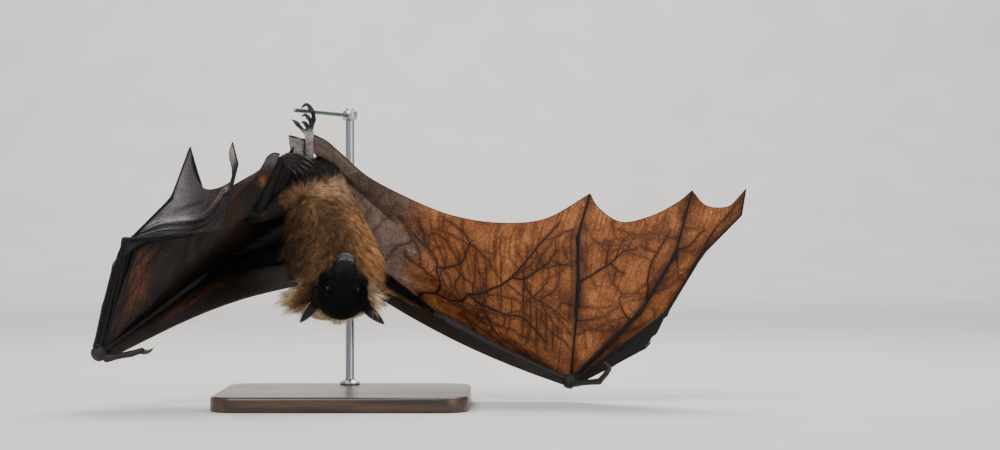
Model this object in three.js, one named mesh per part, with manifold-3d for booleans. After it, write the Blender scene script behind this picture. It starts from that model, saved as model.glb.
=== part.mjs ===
// A life-size flying fox hanging head down by its right foot from a cut length of wire on a display stand.
// Millimetres, +Z up. The belly faces -Y and the animal's right wing reaches towards +X.
// The origin is the centre of the base's underside.
import * as THREE from "three";
import { mergeVertices } from "three/addons/utils/BufferGeometryUtils.js";
import Module from "manifold-3d";

const wasm = await Module();
wasm.setup();

// ---- Driving sizes ---------------------------------------------------------------------------

const GAP = 0.3; // left between two pieces that touch
const MEMBRANE = 0.6; // thickness of the wing skin

const BASE = { length: 250, width: 214, height: 15, corner: 26, bevel: 1.5 };
const ROD = { x: 0, y: 80, radius: 4.5, top: 301 };
const WIRE = { radius: 2, reach: 28, height: 293 }; // reach is how far it runs past the foot

const METACARPAL = [2.6, 2.0, 2.6]; // radii at the near end, the middle and the far joint
const FIRST_PHALANX = [2.5, 1.5, 2.1];
const LAST_PHALANX = [2.0, 1.1, 0.6];
const CLAW_TIP = 0.35;

const V = (x, y, z) => new THREE.Vector3(x, y, z);

// Joint places of each wing and leg, and the free edge of the skin between them.
const RIGHT = {
  shoulder: V(16, 14, 133),
  elbow: V(84, 84, 88),
  wrist: V(226, 48, 21),
  thumb: [V(231, 43, 19), V(255, 22, 22), V(262, 12, 31)],
  thumbClaw: [V(261, 13, 30), V(265, 9, 37), V(259, 8, 43)],
  index: [V(233, 42, 19), V(268, 26, 38), V(301, 12, 57)],
  indexClaw: [V(299, 13, 56), V(305, 10, 61), V(306, 8, 65)],
  middle: [V(234, 47, 23), V(321, 8, 90), V(355, -18, 150), V(393, -34, 190), V(397, -36, 215)],
  ring: [V(231, 50, 25), V(296, 14, 92), V(330, -6, 151), V(346, -14, 214)],
  little: [V(226, 52, 26), V(234, 22, 116), V(233, 8, 168), V(245, 2, 211)],
  bodyLine: [
    V(28, 22, 144), V(24, 22, 174), V(4, 24, 212), V(-14, 26, 236), V(-33, 8, 253), V(-31, -10, 270),
  ],
  hip: V(-20, 14, 214),
  knee: V(-40, 54, 222),
  ankle: V(-35, -10, 265),
  leadingEdge: [V(8, 2, 124), V(66, 11, 88), V(120, 22, 59), V(172, 32, 36), V(228, 42, 15)],
  trailingEdge: [
    V(200, 16, 186), V(155, 24, 182), V(105, 26, 190), V(54, 20, 211),
    V(20, 11, 230), V(-6, 1, 253), V(-19, -5, 264),
  ],
  ringToLittle: [V(333, -8, 203), V(306, -2, 189), V(276, 2, 183), V(253, 4, 198)],
  middleToRing: [V(390, -35, 207), V(382, -32, 199), V(370, -27, 197), V(358, -21, 200)],
  indexToMiddle: [V(309, 9, 69)],
  billow: V(0, 12, 0),
  handBillow: V(0, 8, 0),
};

const LEFT = {
  shoulder: V(-40, 14, 155),
  elbow: V(-145, 52, 132),
  wrist: V(-236, -60, 55),
  thumb: [V(-228, -63, 50), V(-203, -66, 55), V(-193, -67, 58)],
  thumbClaw: [V(-195, -67, 57), V(-187, -67, 57), V(-181, -67, 61)],
  index: [V(-239, -66, 62), V(-230, -70, 101), V(-220, -71, 140)],
  indexClaw: [V(-221, -71, 138), V(-218, -72, 145), V(-215, -72, 148)],
  middle: [V(-235, -62, 60), V(-211, -64, 166), V(-116, -68, 175), V(-101, -56, 240), V(-107, -50, 261)],
  ring: [V(-231, -57, 62), V(-209, -55, 163), V(-168, -41, 206), V(-151, -28, 257)],
  little: [V(-228, -51, 62), V(-204, -44, 155), V(-167, -22, 181), V(-131, -10, 207)],
  bodyLine: [
    V(-54, 20, 160), V(-56, 20, 186), V(-60, 6, 204), V(-86, -11, 192), V(-74, -22, 220), V(-62, -32, 250),
  ],
  hip: V(-42, 6, 214),
  knee: V(-86, -12, 190),
  ankle: V(-59, -32, 246),
  leadingEdge: [V(-30, -2, 124), V(-100, -8, 107), V(-146, -20, 90), V(-190, -38, 69), V(-230, -58, 48)],
  trailingEdge: [V(-98, -10, 226), V(-88, -18, 231), V(-80, -24, 237), V(-75, -29, 247), V(-68, -31, 251)],
  ringToLittle: [V(-143, -18, 226), V(-138, -12, 212)],
  middleToRing: [
    V(-110, -52, 250), V(-107, -55, 236), V(-106, -56, 225),
    V(-121, -51, 216), V(-136, -44, 216), V(-147, -35, 232),
  ],
  indexToMiddle: [V(-216, -68, 153)],
  billow: V(0, 14, 4),
  handBillow: V(0, 5, 0),
};

// The trunk, from the rump down to the shoulders: middle of each section, half width, half depth.
const TRUNK = [
  { at: V(-27, 14, 246), width: 8, depth: 8 },
  { at: V(-28, 12, 237), width: 22, depth: 20 },
  { at: V(-27, 9, 220), width: 32, depth: 30 },
  { at: V(-22, 7, 196), width: 38, depth: 35 },
  { at: V(-17, 6, 172), width: 42, depth: 37 },
  { at: V(-13, 8, 150), width: 46, depth: 38 },
  { at: V(-10, 9, 130), width: 46, depth: 36 },
  { at: V(-8, 10, 114), width: 36, depth: 28 },
  { at: V(-7, 10, 106), width: 16, depth: 12 },
];

// The head: sections along the line from the back of the skull to the nose.
// Each has its distance from the middle of the skull, half width, height above and depth below.
const SKULL = V(-2, -20, 113);
const NOSE = V(5, -60, 149);
const HEAD = [
  [-28, 9, 9, 9],
  [-22, 19, 18, 17],
  [-12, 26, 24, 22],
  [-1, 27.5, 25, 24],
  [8, 25, 22.5, 22.5],
  [16, 20.5, 18.5, 19],
  [24, 15.5, 14.5, 15],
  [32, 12, 11.5, 12.5],
  [40, 10.2, 9.8, 11],
  [47, 9.4, 8.8, 9.6],
  [51.5, 7.6, 6.6, 7.4],
  [53.5, 4.5, 4, 4.4],
];
const EYE = { along: 19, angle: 42, radius: 5, sunk: 2.8, lid: 1.3 };
const NOSTRIL = { along: 50.5, side: 4.1, rise: 2.8, radius: 3.2, hole: 1.6 };
const MOUTH = { corner: 18, front: 50, angle: -36, lip: 1.7, line: 0.8 };
const EAR = { along: -12, angle: 10, sunk: 4, length: 31, width: 7.5, curl: 1.15, thickness: 1.2 };

// The collar's core, and the tiers of locks on it from the face to the nape. lean is how far behind
// the core's middle a tier is rooted, as an angle, and sweep how far its locks slant back from the face.
const RUFF = { middle: V(-11, 8, 116), width: 40, depth: 26, height: 22 };
const LOCK = { length: 14, width: 6.6, thickness: 2, sunk: 5, droop: V(0, 0.1, -0.3) };
const TIERS = [
  { lean: -0.4, count: 12, length: 0.75, sweep: 0.5 },
  { lean: 0, count: 15, length: 0.95, sweep: 0.5 },
  { lean: 0.42, count: 13, length: 1, sweep: 0.2 },
  { lean: 0.9, count: 10, length: 1.1, sweep: -1.1 },
];
const TIER_START = THREE.MathUtils.degToRad(-212);
const TIER_TURN = THREE.MathUtils.degToRad(244);

// ---- Making solids ---------------------------------------------------------------------------

// A closed, indexed geometry as a solid with its faces turned outwards.
function solid(geometry) {
  const bare = new THREE.BufferGeometry();
  bare.setAttribute("position", geometry.getAttribute("position"));
  if (geometry.index) bare.setIndex(geometry.index);
  const merged = mergeVertices(bare, 1e-4);
  const triVerts = new Uint32Array(merged.index.array);
  const vertProperties = new Float32Array(merged.attributes.position.array);
  if (signedVolume(vertProperties, triVerts) < 0) triVerts.reverse();
  return new wasm.Manifold(new wasm.Mesh({ numProp: 3, vertProperties, triVerts }));
}

function signedVolume(positions, triangles) {
  const [a, b, c] = [V(), V(), V()];
  let six = 0;
  for (let i = 0; i < triangles.length; i += 3) {
    a.fromArray(positions, 3 * triangles[i]);
    b.fromArray(positions, 3 * triangles[i + 1]);
    c.fromArray(positions, 3 * triangles[i + 2]);
    six += a.dot(b.cross(c));
  }
  return six;
}

const join = (solids) => solids.reduce((whole, piece) => whole.add(piece));

// The largest closed body, which drops loose scraps that a cut leaves.
const largest = (cut) =>
  cut.decompose().reduce((best, body) => (body.volume() > best.volume() ? body : best));

function geometryOf(body) {
  const mesh = body.getMesh();
  const geometry = new THREE.BufferGeometry();
  geometry.setAttribute("position", new THREE.BufferAttribute(new Float32Array(mesh.vertProperties), 3));
  geometry.setIndex(new THREE.BufferAttribute(new Uint32Array(mesh.triVerts), 1));
  geometry.computeVertexNormals();
  return geometry;
}

// A closed body over a row of rings. It ends in a tip, or else in the middle of its last ring.
function loft(rings, tip) {
  const sides = rings[0].length;
  const middle = (ring) => ring.reduce((sum, p) => sum.add(p), V()).divideScalar(sides);
  const points = [...rings.flat(), middle(rings[0]), tip ?? middle(rings.at(-1))];
  const [first, last] = [points.length - 2, points.length - 1];
  const index = [];
  for (let k = 0; k < sides; k++) {
    const next = (k + 1) % sides;
    const end = (rings.length - 1) * sides;
    index.push(first, next, k, last, end + k, end + next);
    for (let i = 0; i + 1 < rings.length; i++) {
      const [a, b] = [i * sides + k, i * sides + next];
      index.push(a, b, a + sides, b, b + sides, a + sides);
    }
  }
  return solid(new THREE.BufferGeometry().setFromPoints(points).setIndex(index));
}

// One oval ring. Above and below the side axis its height may differ.
function ring(middle, side, rise, [width, above, below = above], sides, turn = 0) {
  return Array.from({ length: sides }, (_, k) => {
    const angle = turn + (2 * Math.PI * k) / sides;
    const height = Math.sin(angle) > 0 ? above : below;
    return middle
      .clone()
      .addScaledVector(side, width * Math.cos(angle))
      .addScaledVector(rise, height * Math.sin(angle));
  });
}

// Values of a table at t, eased between its rows, each of which starts with its own t.
function eased(rows, t) {
  const i = Math.max(1, rows.findIndex((row) => row[0] >= t - 1e-9));
  const [from, to] = [rows[i - 1], rows[i]];
  const share = THREE.MathUtils.clamp((t - from[0]) / (to[0] - from[0]), 0, 1);
  return from.slice(1).map((value, k) => THREE.MathUtils.lerp(value, to[k + 1], share));
}

// A limb swept along a smooth curve through its points. rows give half width and half height along it.
function limb(points, rows, { sides = 10, steps = 10, rise = V(0, -1, 0), grow = 0 } = {}) {
  const curve = new THREE.CatmullRomCurve3(points, false, "centripetal");
  const rings = [];
  for (let i = 0; i <= steps; i++) {
    const t = i / steps;
    const tangent = curve.getTangentAt(t);
    const side = tangent.clone().cross(rise).normalize();
    const up = side.clone().cross(tangent).normalize();
    const past = i === 0 ? -grow : i === steps ? grow : 0;
    const middle = curve.getPointAt(t).addScaledVector(tangent, past);
    const [width, height = width] = eased(rows, t);
    rings.push(ring(middle, side, up, [width + grow, height + grow], sides));
  }
  return loft(rings);
}

// A bone in its skin: round knuckles at both ends and a thinner shaft.
function bone(from, to, [near, shaft, far], grow = 0, sides = 6) {
  const along = to.clone().sub(from);
  const length = along.length();
  along.normalize();
  const side = along.clone().cross(V(0.3, 1, 0.2)).normalize();
  const up = side.clone().cross(along);
  const outline = [
    [-0.85 * near - grow, 0.5 * near],
    [0, near],
    [0.14 * length, shaft],
    [0.86 * length, (shaft + far) / 2 < far ? shaft : far],
    [length, far],
    [length + 0.85 * far + grow, 0.5 * far],
  ];
  const rings = outline.map(([distance, radius]) =>
    ring(from.clone().addScaledVector(along, distance), side, up, [radius + grow, radius + grow], sides),
  );
  return loft(rings);
}

// A curved claw, deeper than it is wide, from its root to a fine tip.
function claw(points, depth, grow = 0) {
  const rows = [
    [0, depth * 0.7, depth],
    [0.5, depth * 0.5, depth * 0.75],
    [1, CLAW_TIP, CLAW_TIP],
  ];
  const across = points[1].clone().sub(points[0]).cross(points[2].clone().sub(points[0])).normalize();
  const rise = across.cross(points[2].clone().sub(points[0])).normalize();
  return limb(points, rows, { sides: 4, steps: 3, rise, grow });
}

// A thin curved sheet over at(u, v), split into triangles alike on both faces.
function sheet(at, columns, rows, thickness) {
  const step = 1e-3;
  const [front, back] = [[], []];
  for (let i = 0; i <= columns; i++) {
    for (let j = 0; j <= rows; j++) {
      const [u, v] = [i / columns, j / rows];
      const along = at(Math.min(1, u + step), v).sub(at(Math.max(0, u - step), v));
      const across = at(u, Math.min(1, v + step)).sub(at(u, Math.max(0, v - step)));
      const half = along.cross(across).normalize().multiplyScalar(thickness / 2);
      front.push(at(u, v).add(half));
      back.push(at(u, v).sub(half));
    }
  }
  const count = front.length;
  const index = [];
  const cell = (a, b, c, d) => index.push(a, b, c, b, d, c);
  for (let i = 0; i < columns; i++) {
    for (let j = 0; j < rows; j++) {
      const a = i * (rows + 1) + j;
      const [b, c, d] = [a + 1, a + rows + 1, a + rows + 2];
      cell(a, b, c, d);
      index.push(count + a, count + c, count + b, count + b, count + c, count + d);
    }
  }
  const edge = (a, b) => index.push(a, count + a, b, b, count + a, count + b);
  for (let i = 0; i < columns; i++) {
    edge((i + 1) * (rows + 1), i * (rows + 1));
    edge(i * (rows + 1) + rows, (i + 1) * (rows + 1) + rows);
  }
  for (let j = 0; j < rows; j++) {
    edge(j, j + 1);
    edge(columns * (rows + 1) + j + 1, columns * (rows + 1) + j);
  }
  return solid(new THREE.BufferGeometry().setFromPoints([...front, ...back]).setIndex(index));
}

// A point on a chain of straight bones; stops[i] is the t at which points[i] is reached.
function onChain(points, stops, t) {
  const i = Math.min(points.length - 1, Math.max(1, stops.findIndex((stop) => stop >= t - 1e-9)));
  const share = (t - stops[i - 1]) / (stops[i] - stops[i - 1]);
  return points[i - 1].clone().lerp(points[i], share);
}

// Wing skin stretched between two chains that end at its free edge, which sags between them.
function skinBetween(one, two, [stopsOne, stopsTwo], freeEdge, billow, options = {}) {
  const { from = 0.03, pull = 3, columns = 8, rows = 4, grow = 0 } = options;
  const hem = new THREE.CatmullRomCurve3([one.at(-1), ...freeEdge, two.at(-1)], false, "centripetal");
  const straight = (t, s) => onChain(one, stopsOne, t).lerp(onChain(two, stopsTwo, t), s);
  const at = (u, s) => {
    const t = from + (1 - from) * u;
    const sag = hem.getPointAt(s).sub(straight(1, s)).multiplyScalar(t ** pull);
    const puff = Math.sin(Math.PI * s) * Math.sin(Math.PI * Math.min(1, t * 0.94));
    return straight(t, s).add(sag).addScaledVector(billow, puff);
  };
  return sheet(at, columns, rows, MEMBRANE + 2 * grow);
}

// ---- The head --------------------------------------------------------------------------------

const HEAD_FORWARD = NOSE.clone().sub(SKULL).normalize();
const HEAD_RIGHT = HEAD_FORWARD.clone().cross(V(0, -0.66, -0.75)).normalize();
const HEAD_UP = HEAD_RIGHT.clone().cross(HEAD_FORWARD).normalize();

const headPoint = (along, side, rise) =>
  SKULL.clone()
    .addScaledVector(HEAD_FORWARD, along)
    .addScaledVector(HEAD_RIGHT, side)
    .addScaledVector(HEAD_UP, rise);

// A point on the head's surface, at an angle above the level of the mouth, on the side +1 or -1.
function onHead(along, degrees, side, out = 0) {
  const [width, above, below] = eased(HEAD, along);
  const angle = THREE.MathUtils.degToRad(degrees);
  const height = angle > 0 ? above : below;
  return headPoint(along, side * (width + out) * Math.cos(angle), (height + out) * Math.sin(angle));
}

const eyePlace = (side) => onHead(EYE.along, EYE.angle, side, -EYE.sunk);
const nostrilPlace = (side) => headPoint(NOSTRIL.along, side * NOSTRIL.side, NOSTRIL.rise);

function ball(middle, radius, detail = 12) {
  const sphere = new THREE.SphereGeometry(radius, detail, Math.round(detail * 0.75));
  return solid(sphere.translate(middle.x, middle.y, middle.z));
}

function headMass(grow) {
  const rings = HEAD.map(([along, width, above, below], i) => {
    const past = i === 0 ? -grow : i === HEAD.length - 1 ? grow : 0;
    const sizes = [width + grow, above + grow, below + grow];
    return ring(headPoint(along + past, 0, 0), HEAD_RIGHT, HEAD_UP, sizes, 24);
  });
  return loft(rings);
}

function mouthLine(radius) {
  const side = (sign) =>
    [MOUTH.corner, 28, 38, 46].map((along) => onHead(along, MOUTH.angle, sign));
  const points = [...side(-1), headPoint(MOUTH.front + 0.6, 0, -4.5), ...side(1).reverse()];
  return limb(points, [[0, radius * 0.5], [0.1, radius], [0.9, radius], [1, radius * 0.5]], {
    sides: 4,
    steps: 14,
    rise: HEAD_UP,
  });
}

// A ring of lid round the eye, standing on the socket's rim.
function eyelid(side, grow = 0) {
  const middle = eyePlace(side);
  const outward = middle.clone().sub(headPoint(EYE.along - 3, 0, 2)).normalize();
  const rim = new THREE.TorusGeometry(EYE.radius * 0.86, EYE.lid + grow, 5, 12);
  rim.scale(1.12, 0.88, 1);
  const turn = new THREE.Quaternion().setFromUnitVectors(V(0, 0, 1), outward);
  rim.applyQuaternion(turn);
  const place = middle.addScaledVector(outward, EYE.radius * 0.62);
  return solid(rim.translate(place.x, place.y, place.z));
}

function head(grow = 0) {
  const pieces = [headMass(grow), mouthLine(MOUTH.lip + grow)];
  for (const side of [-1, 1]) {
    pieces.push(ball(nostrilPlace(side), NOSTRIL.radius + grow, 8), eyelid(side, grow));
  }
  if (grow) return join(pieces);
  let whole = join(pieces).subtract(mouthLine(MOUTH.line));
  for (const side of [-1, 1]) {
    const mouth = nostrilPlace(side).addScaledVector(HEAD_FORWARD, 2.6).addScaledVector(HEAD_RIGHT, side);
    whole = whole.subtract(ball(mouth, NOSTRIL.hole, 6)).subtract(eye(side, GAP));
  }
  return whole;
}

const eye = (side, grow = 0) => ball(eyePlace(side), EYE.radius + grow, 10);

// A pointed ear, curled into a cup that opens forwards.
function ear(side, grow = 0) {
  const root = onHead(EAR.along, EAR.angle, side, -EAR.sunk);
  const axis = V(0.64 * side, 0.3, -0.7).normalize();
  const across = axis.clone().cross(V(0.35 * side, -1, 0)).normalize();
  const open = across.clone().cross(axis).normalize();
  const at = (u, v) => {
    const wide = EAR.width * (0.55 + 0.9 * u) * Math.min(1, 1.25 * (1 - u)) ** 0.75 + 0.3;
    const bend = EAR.curl * (2 * v - 1) * (1.2 - 0.5 * u) * (1 + (2 * grow) / wide);
    return root
      .clone()
      .addScaledVector(axis, EAR.length * u + 2 * grow * (2 * u - 1))
      .addScaledVector(across, wide * Math.sin(bend))
      .addScaledVector(open, wide * (1 - Math.cos(bend)) - 2 * Math.sin(Math.PI * u));
  };
  return sheet(at, 6, 6, EAR.thickness + 2 * grow);
}

// ---- Trunk and ruff --------------------------------------------------------------------------

function trunk(grow = 0) {
  const [side, front] = [V(1, 0, 0), V(0, -1, 0)];
  const rings = TRUNK.map(({ at, width, depth }, i) => {
    const past = i === 0 ? grow : i === TRUNK.length - 1 ? -grow : 0;
    return ring(at.clone().add(V(0, 0, past)), side, front, [width + grow, depth + grow], 20);
  });
  return loft(rings);
}

// Whether a point lies in the trunk, or within a margin of its side.
function inTrunk(point, margin) {
  if (point.z < TRUNK.at(-1).at.z) return false;
  const rows = TRUNK.map(({ at, width, depth }) => [-at.z, at.x, at.y, width, depth]);
  const [x, y, width, depth] = eased(rows, -point.z);
  return ((point.x - x) / (width + margin)) ** 2 + ((point.y - y) / (depth + margin)) ** 2 < 1;
}

function ruffCore(grow = 0) {
  const shape = new THREE.SphereGeometry(1, 16, 10);
  shape.scale(RUFF.width + grow, RUFF.depth + grow, RUFF.height + grow);
  return solid(shape.translate(RUFF.middle.x, RUFF.middle.y, RUFF.middle.z));
}

// A flat, tapered lock that leaves the core at a slant and droops towards its tip.
// There is none where it would run inside the trunk.
function lock(angle, lean, length, sweep, grow) {
  const onCore = (tilt) =>
    V(
      RUFF.width * Math.cos(angle) * Math.cos(tilt),
      RUFF.depth * Math.sin(tilt),
      RUFF.height * Math.sin(angle) * Math.cos(tilt),
    );
  const root = onCore(lean);
  const outward = root.clone().divide(V(RUFF.width ** 2, RUFF.depth ** 2, RUFF.height ** 2)).normalize();
  const backward = onCore(lean + 0.1).sub(root).normalize();
  const aim = outward.clone().addScaledVector(backward, sweep).normalize();
  const across = aim.clone().cross(outward).normalize();
  const along = (t) =>
    RUFF.middle
      .clone()
      .add(root)
      .addScaledVector(aim, (length + LOCK.sunk) * t - LOCK.sunk)
      .addScaledVector(LOCK.droop, length * t * t);
  if (inTrunk(along(0.6), LOCK.thickness)) return [];
  const rows = [
    [0, 0.85, 1],
    [0.5, 1, 0.9],
    [0.8, 0.62, 0.6],
  ];
  const rings = rows.map(([t, width, thickness]) => {
    const face = aim.clone().addScaledVector(LOCK.droop, 2 * t).cross(across).normalize();
    const sizes = [LOCK.width * width + 2 * grow, LOCK.thickness * thickness + 2 * grow];
    return ring(along(t), across, face, sizes, 3, Math.PI / 2);
  });
  return [loft(rings, along(1).addScaledVector(aim, 4 * grow))];
}

function locks(grow = 0) {
  const all = TIERS.flatMap(({ lean, count, length, sweep }, tier) =>
    Array.from({ length: count }).flatMap((_, k) => {
      const share = (k + 0.5 * (tier % 2)) / (count - 0.5);
      const vary = 1 + 0.16 * Math.sin(5.3 * k + 2.1 * tier);
      const shift = 0.05 * Math.sin(3.7 * k + tier);
      const angle = TIER_START + TIER_TURN * (share + 0.3 * shift);
      return lock(angle, lean + shift, LOCK.length * length * vary, sweep, grow);
    }),
  );
  return join(all);
}

// ---- Wings -----------------------------------------------------------------------------------

function upperArm(wing, grow = 0) {
  const bend = wing.shoulder.clone().lerp(wing.elbow, 0.5);
  const rows = [
    [0, 14, 15],
    [0.3, 13, 13],
    [0.7, 8.5, 9],
    [1, 5.5, 6],
  ];
  return limb([wing.shoulder, bend, wing.elbow], rows, { steps: 8, grow });
}

function forearm(wing, grow = 0) {
  const bow = wing.elbow.clone().lerp(wing.wrist, 0.5).add(V(0, 0, -2));
  const rows = [
    [0, 5, 5],
    [0.08, 7.5, 7.5],
    [0.3, 6.4, 6.4],
    [0.6, 4.6, 4.6],
    [0.9, 4, 4],
    [1, 4.6, 4.6],
  ];
  return limb([wing.elbow, bow, wing.wrist], rows, { sides: 8, steps: 8, grow });
}

function wrist(wing, grow = 0) {
  const along = wing.wrist.clone().sub(wing.elbow).normalize();
  const from = wing.wrist.clone().addScaledVector(along, -6);
  const to = wing.wrist.clone().addScaledVector(along, 7);
  const rows = [
    [0, 4],
    [0.2, 7.2],
    [0.6, 7.8],
    [0.85, 6.4],
    [1, 3.5],
  ];
  return limb([from, wing.wrist, to], rows, { sides: 8, steps: 5, grow });
}

const thumb = (wing, grow = 0) =>
  join([
    bone(wing.thumb[0], wing.thumb[1], [4, 3, 3.4], grow),
    bone(wing.thumb[1], wing.thumb[2], [3.1, 2.8, 2.9], grow),
  ]);

const indexFinger = (wing, grow = 0) =>
  join([
    bone(wing.index[0], wing.index[1], [2.3, 1.7, 2.0], grow),
    bone(wing.index[1], wing.index[2], [1.9, 1.4, 1.7], grow),
  ]);

// A long finger: its metacarpal and phalanges; what follows the last joint only thins out.
function longFinger(joints, grow = 0) {
  const sizes = [METACARPAL, FIRST_PHALANX, LAST_PHALANX, [0.7, 0.6, 0.45]];
  return join(joints.slice(1).map((joint, i) => bone(joints[i], joint, sizes[i], grow)));
}

// Each hand skin is stretched between two fingers and carries on to the first one's tip.
const MIDDLE_STOPS = [0, 0.47, 0.72, 0.91, 1]; // where each joint lies along the skin's edge
const OUTER_STOPS = [0, 0.47, 0.74, 1];

function middleToRingSkin({ middle, ring, middleToRing, handBillow }) {
  const size = { columns: 9, rows: 5 };
  return skinBetween(middle, ring, [MIDDLE_STOPS, OUTER_STOPS], middleToRing, handBillow, size);
}

const ringToLittleSkin = ({ ring, little, ringToLittle, handBillow }) =>
  skinBetween(ring, little, [OUTER_STOPS, OUTER_STOPS], ringToLittle, handBillow);

const indexToMiddleSkin = (wing) =>
  skinBetween(wing.index, wing.middle.slice(0, 2), [[0, 0.5, 1], [0, 1]], wing.indexToMiddle, V(), {
    columns: 6,
    rows: 2,
  });

// From the flank and leg to the arm and little finger.
function sideSkin(wing, grow = 0) {
  const arm = [wing.shoulder, wing.elbow, wing.wrist, ...wing.little.slice(1)];
  const stops = [[0, 0.22, 0.55, 0.76, 0.88, 1], [0, 0.22, 0.5, 0.66, 0.84, 1]];
  return skinBetween(arm, wing.bodyLine, stops, wing.trailingEdge, wing.billow, {
    from: 0.06,
    columns: 11,
    rows: 6,
    grow,
  });
}

// The fore-wing skin, from the arm to the tight edge between neck and wrist.
function foreSkin(wing) {
  const edge = new THREE.CatmullRomCurve3(wing.leadingEdge, false, "centripetal");
  const at = (u, v) => {
    const t = 0.04 + 0.95 * u;
    return onChain([wing.shoulder, wing.elbow, wing.wrist], [0, 0.42, 1], t).lerp(edge.getPointAt(t), v);
  };
  return sheet(at, 9, 2, MEMBRANE);
}

// ---- Legs ------------------------------------------------------------------------------------

function thigh(leg, grow = 0) {
  const rows = [
    [0, 15],
    [0.5, 13],
    [1, 8.5],
  ];
  const middle = leg.hip.clone().lerp(leg.knee, 0.55);
  return limb([leg.hip, middle, leg.knee], rows, { steps: 6, rise: V(0, 0, 1), grow });
}

function shin(leg, grow = 0) {
  const rows = [
    [0, 6.5],
    [0.25, 5.8],
    [0.7, 4.3],
    [1, 4],
  ];
  const middle = leg.knee.clone().lerp(leg.ankle, 0.5);
  return limb([leg.knee, middle, leg.ankle], rows, { sides: 8, steps: 6, rise: V(0.2, 1, 0), grow });
}

// The spur on each heel, the tail skin's free edge from the spur's tip to the rump,
// and how much of the shin the skin follows.
const SPUR = {
  right: {
    from: V(-37, -10, 264),
    to: V(-55, -13, 269),
    edge: V(-53, -2, 252),
    rump: V(-44, 8, 238),
    reach: 0.55,
  },
  left: {
    from: V(-57, -29, 246),
    to: V(-50, -18, 257),
    edge: V(-52, -8, 244),
    rump: V(-50, 4, 222),
    reach: 0.9,
  },
};

const spur = ({ from, to }, grow = 0) => bone(from, to, [1.6, 1.0, 0.5], grow, 6);

// The narrow tail skin between spur, shin and rump.
function tailSkin(leg, { from, to, edge, rump, reach }) {
  const outer = new THREE.CatmullRomCurve3([to, edge, rump], false, "centripetal");
  const at = (u, v) => from.clone().lerp(leg.knee, reach * u).lerp(outer.getPointAt(u), v);
  return sheet(at, 5, 4, MEMBRANE);
}

const WIRE_HOLD = V(-37, -13, WIRE.height); // where the foot grips it
const WIRE_AIM = V(ROD.x, ROD.y, WIRE.height).sub(WIRE_HOLD).normalize();

// Toes as chains of points: knuckle, joint, claw root, the claw's bend and its tip.
const RIGHT_TOES = [
  [V(-33, -15, 274), V(-30.5, -17, 284), V(-30.5, -18, 292), V(-37, -18, 300), V(-43, -18, 296)],
  [V(-33, -11, 275), V(-30, -10, 285), V(-30.5, -10, 292.5), V(-37, -10, 300), V(-43, -10, 296)],
  [V(-34, -18, 272), V(-32.5, -22, 280), V(-33, -24.5, 285), V(-38, -25, 289), V(-42, -24.5, 286.5)],
  [V(-36, -12, 271), V(-36.5, -14, 276), V(-37, -15, 279.5), V(-40, -16, 282), V(-43, -16, 281.5)],
  [V(-37, -13, 270), V(-41.5, -15, 275), V(-45.5, -16, 279.5), V(-49, -16, 283), V(-52.5, -16, 285)],
];
const LEFT_TOES = [
  [V(-53, -34, 249), V(-45, -36, 249), V(-37, -35, 246), V(-31, -32, 242), V(-28, -27, 237)],
  [V(-54, -35, 247), V(-45, -37, 245), V(-38, -36, 242), V(-32, -33, 238), V(-30, -28, 233)],
  [V(-55, -35, 244), V(-46, -37, 241.5), V(-40, -36, 238), V(-35.5, -33, 234), V(-34, -28, 230)],
  [V(-56, -35, 242), V(-48, -36.5, 238), V(-43.5, -36, 235), V(-40, -33, 231), V(-39, -29, 228)],
  [V(-57, -34, 240), V(-52, -36, 236), V(-49, -35, 233), V(-46.5, -32.5, 230), V(-46, -29, 227)],
];

const TOE = [
  [0, 2.2],
  [0.5, 1.7],
  [1, 1.6],
];

function foot(leg, toes, grow = 0) {
  const knuckles = toes.reduce((sum, toe) => sum.add(toe[0]), V()).divideScalar(toes.length);
  const heel = leg.ankle.clone().lerp(knuckles, -0.25);
  const rows = [
    [0, 3.4],
    [0.5, 4.6],
    [1, 4.6],
  ];
  const instep = leg.ankle.clone().lerp(knuckles, 0.5);
  const rise = V(0.1, 1, 0.1);
  const pieces = [limb([heel, instep, knuckles], rows, { steps: 3, sides: 8, rise, grow })];
  for (const [knuckle, joint, root, over, tip] of toes) {
    const start = knuckle.clone().lerp(joint, -0.3);
    pieces.push(limb([start, joint, root], TOE, { sides: 5, steps: 2, rise, grow }));
    pieces.push(claw([root.clone().lerp(joint, 0.2), over, tip], 1.9, grow));
  }
  return join(pieces);
}

// ---- Stand -----------------------------------------------------------------------------------

function standBase() {
  const { length, width, height, corner, bevel } = BASE;
  const [x, y] = [length / 2 - bevel - corner, width / 2 - bevel - corner];
  const outline = new THREE.Shape();
  outline.absarc(x, y, corner, 0, Math.PI / 2);
  outline.absarc(-x, y, corner, Math.PI / 2, Math.PI);
  outline.absarc(-x, -y, corner, Math.PI, 1.5 * Math.PI);
  outline.absarc(x, -y, corner, 1.5 * Math.PI, 2 * Math.PI);
  const slab = new THREE.ExtrudeGeometry(outline, {
    depth: height - 2 * bevel,
    bevelThickness: bevel,
    bevelSize: bevel,
    bevelSegments: 1,
    curveSegments: 3,
  });
  return solid(slab.translate(0, 0, bevel));
}

function upright(radius, bottom, top, x, y) {
  const column = new THREE.CylinderGeometry(radius, radius, top - bottom, 16);
  return solid(column.rotateX(Math.PI / 2).translate(x, y, (top + bottom) / 2));
}

const standRod = (grow = 0) => upright(ROD.radius + grow, BASE.height + GAP, ROD.top, ROD.x, ROD.y);

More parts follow.
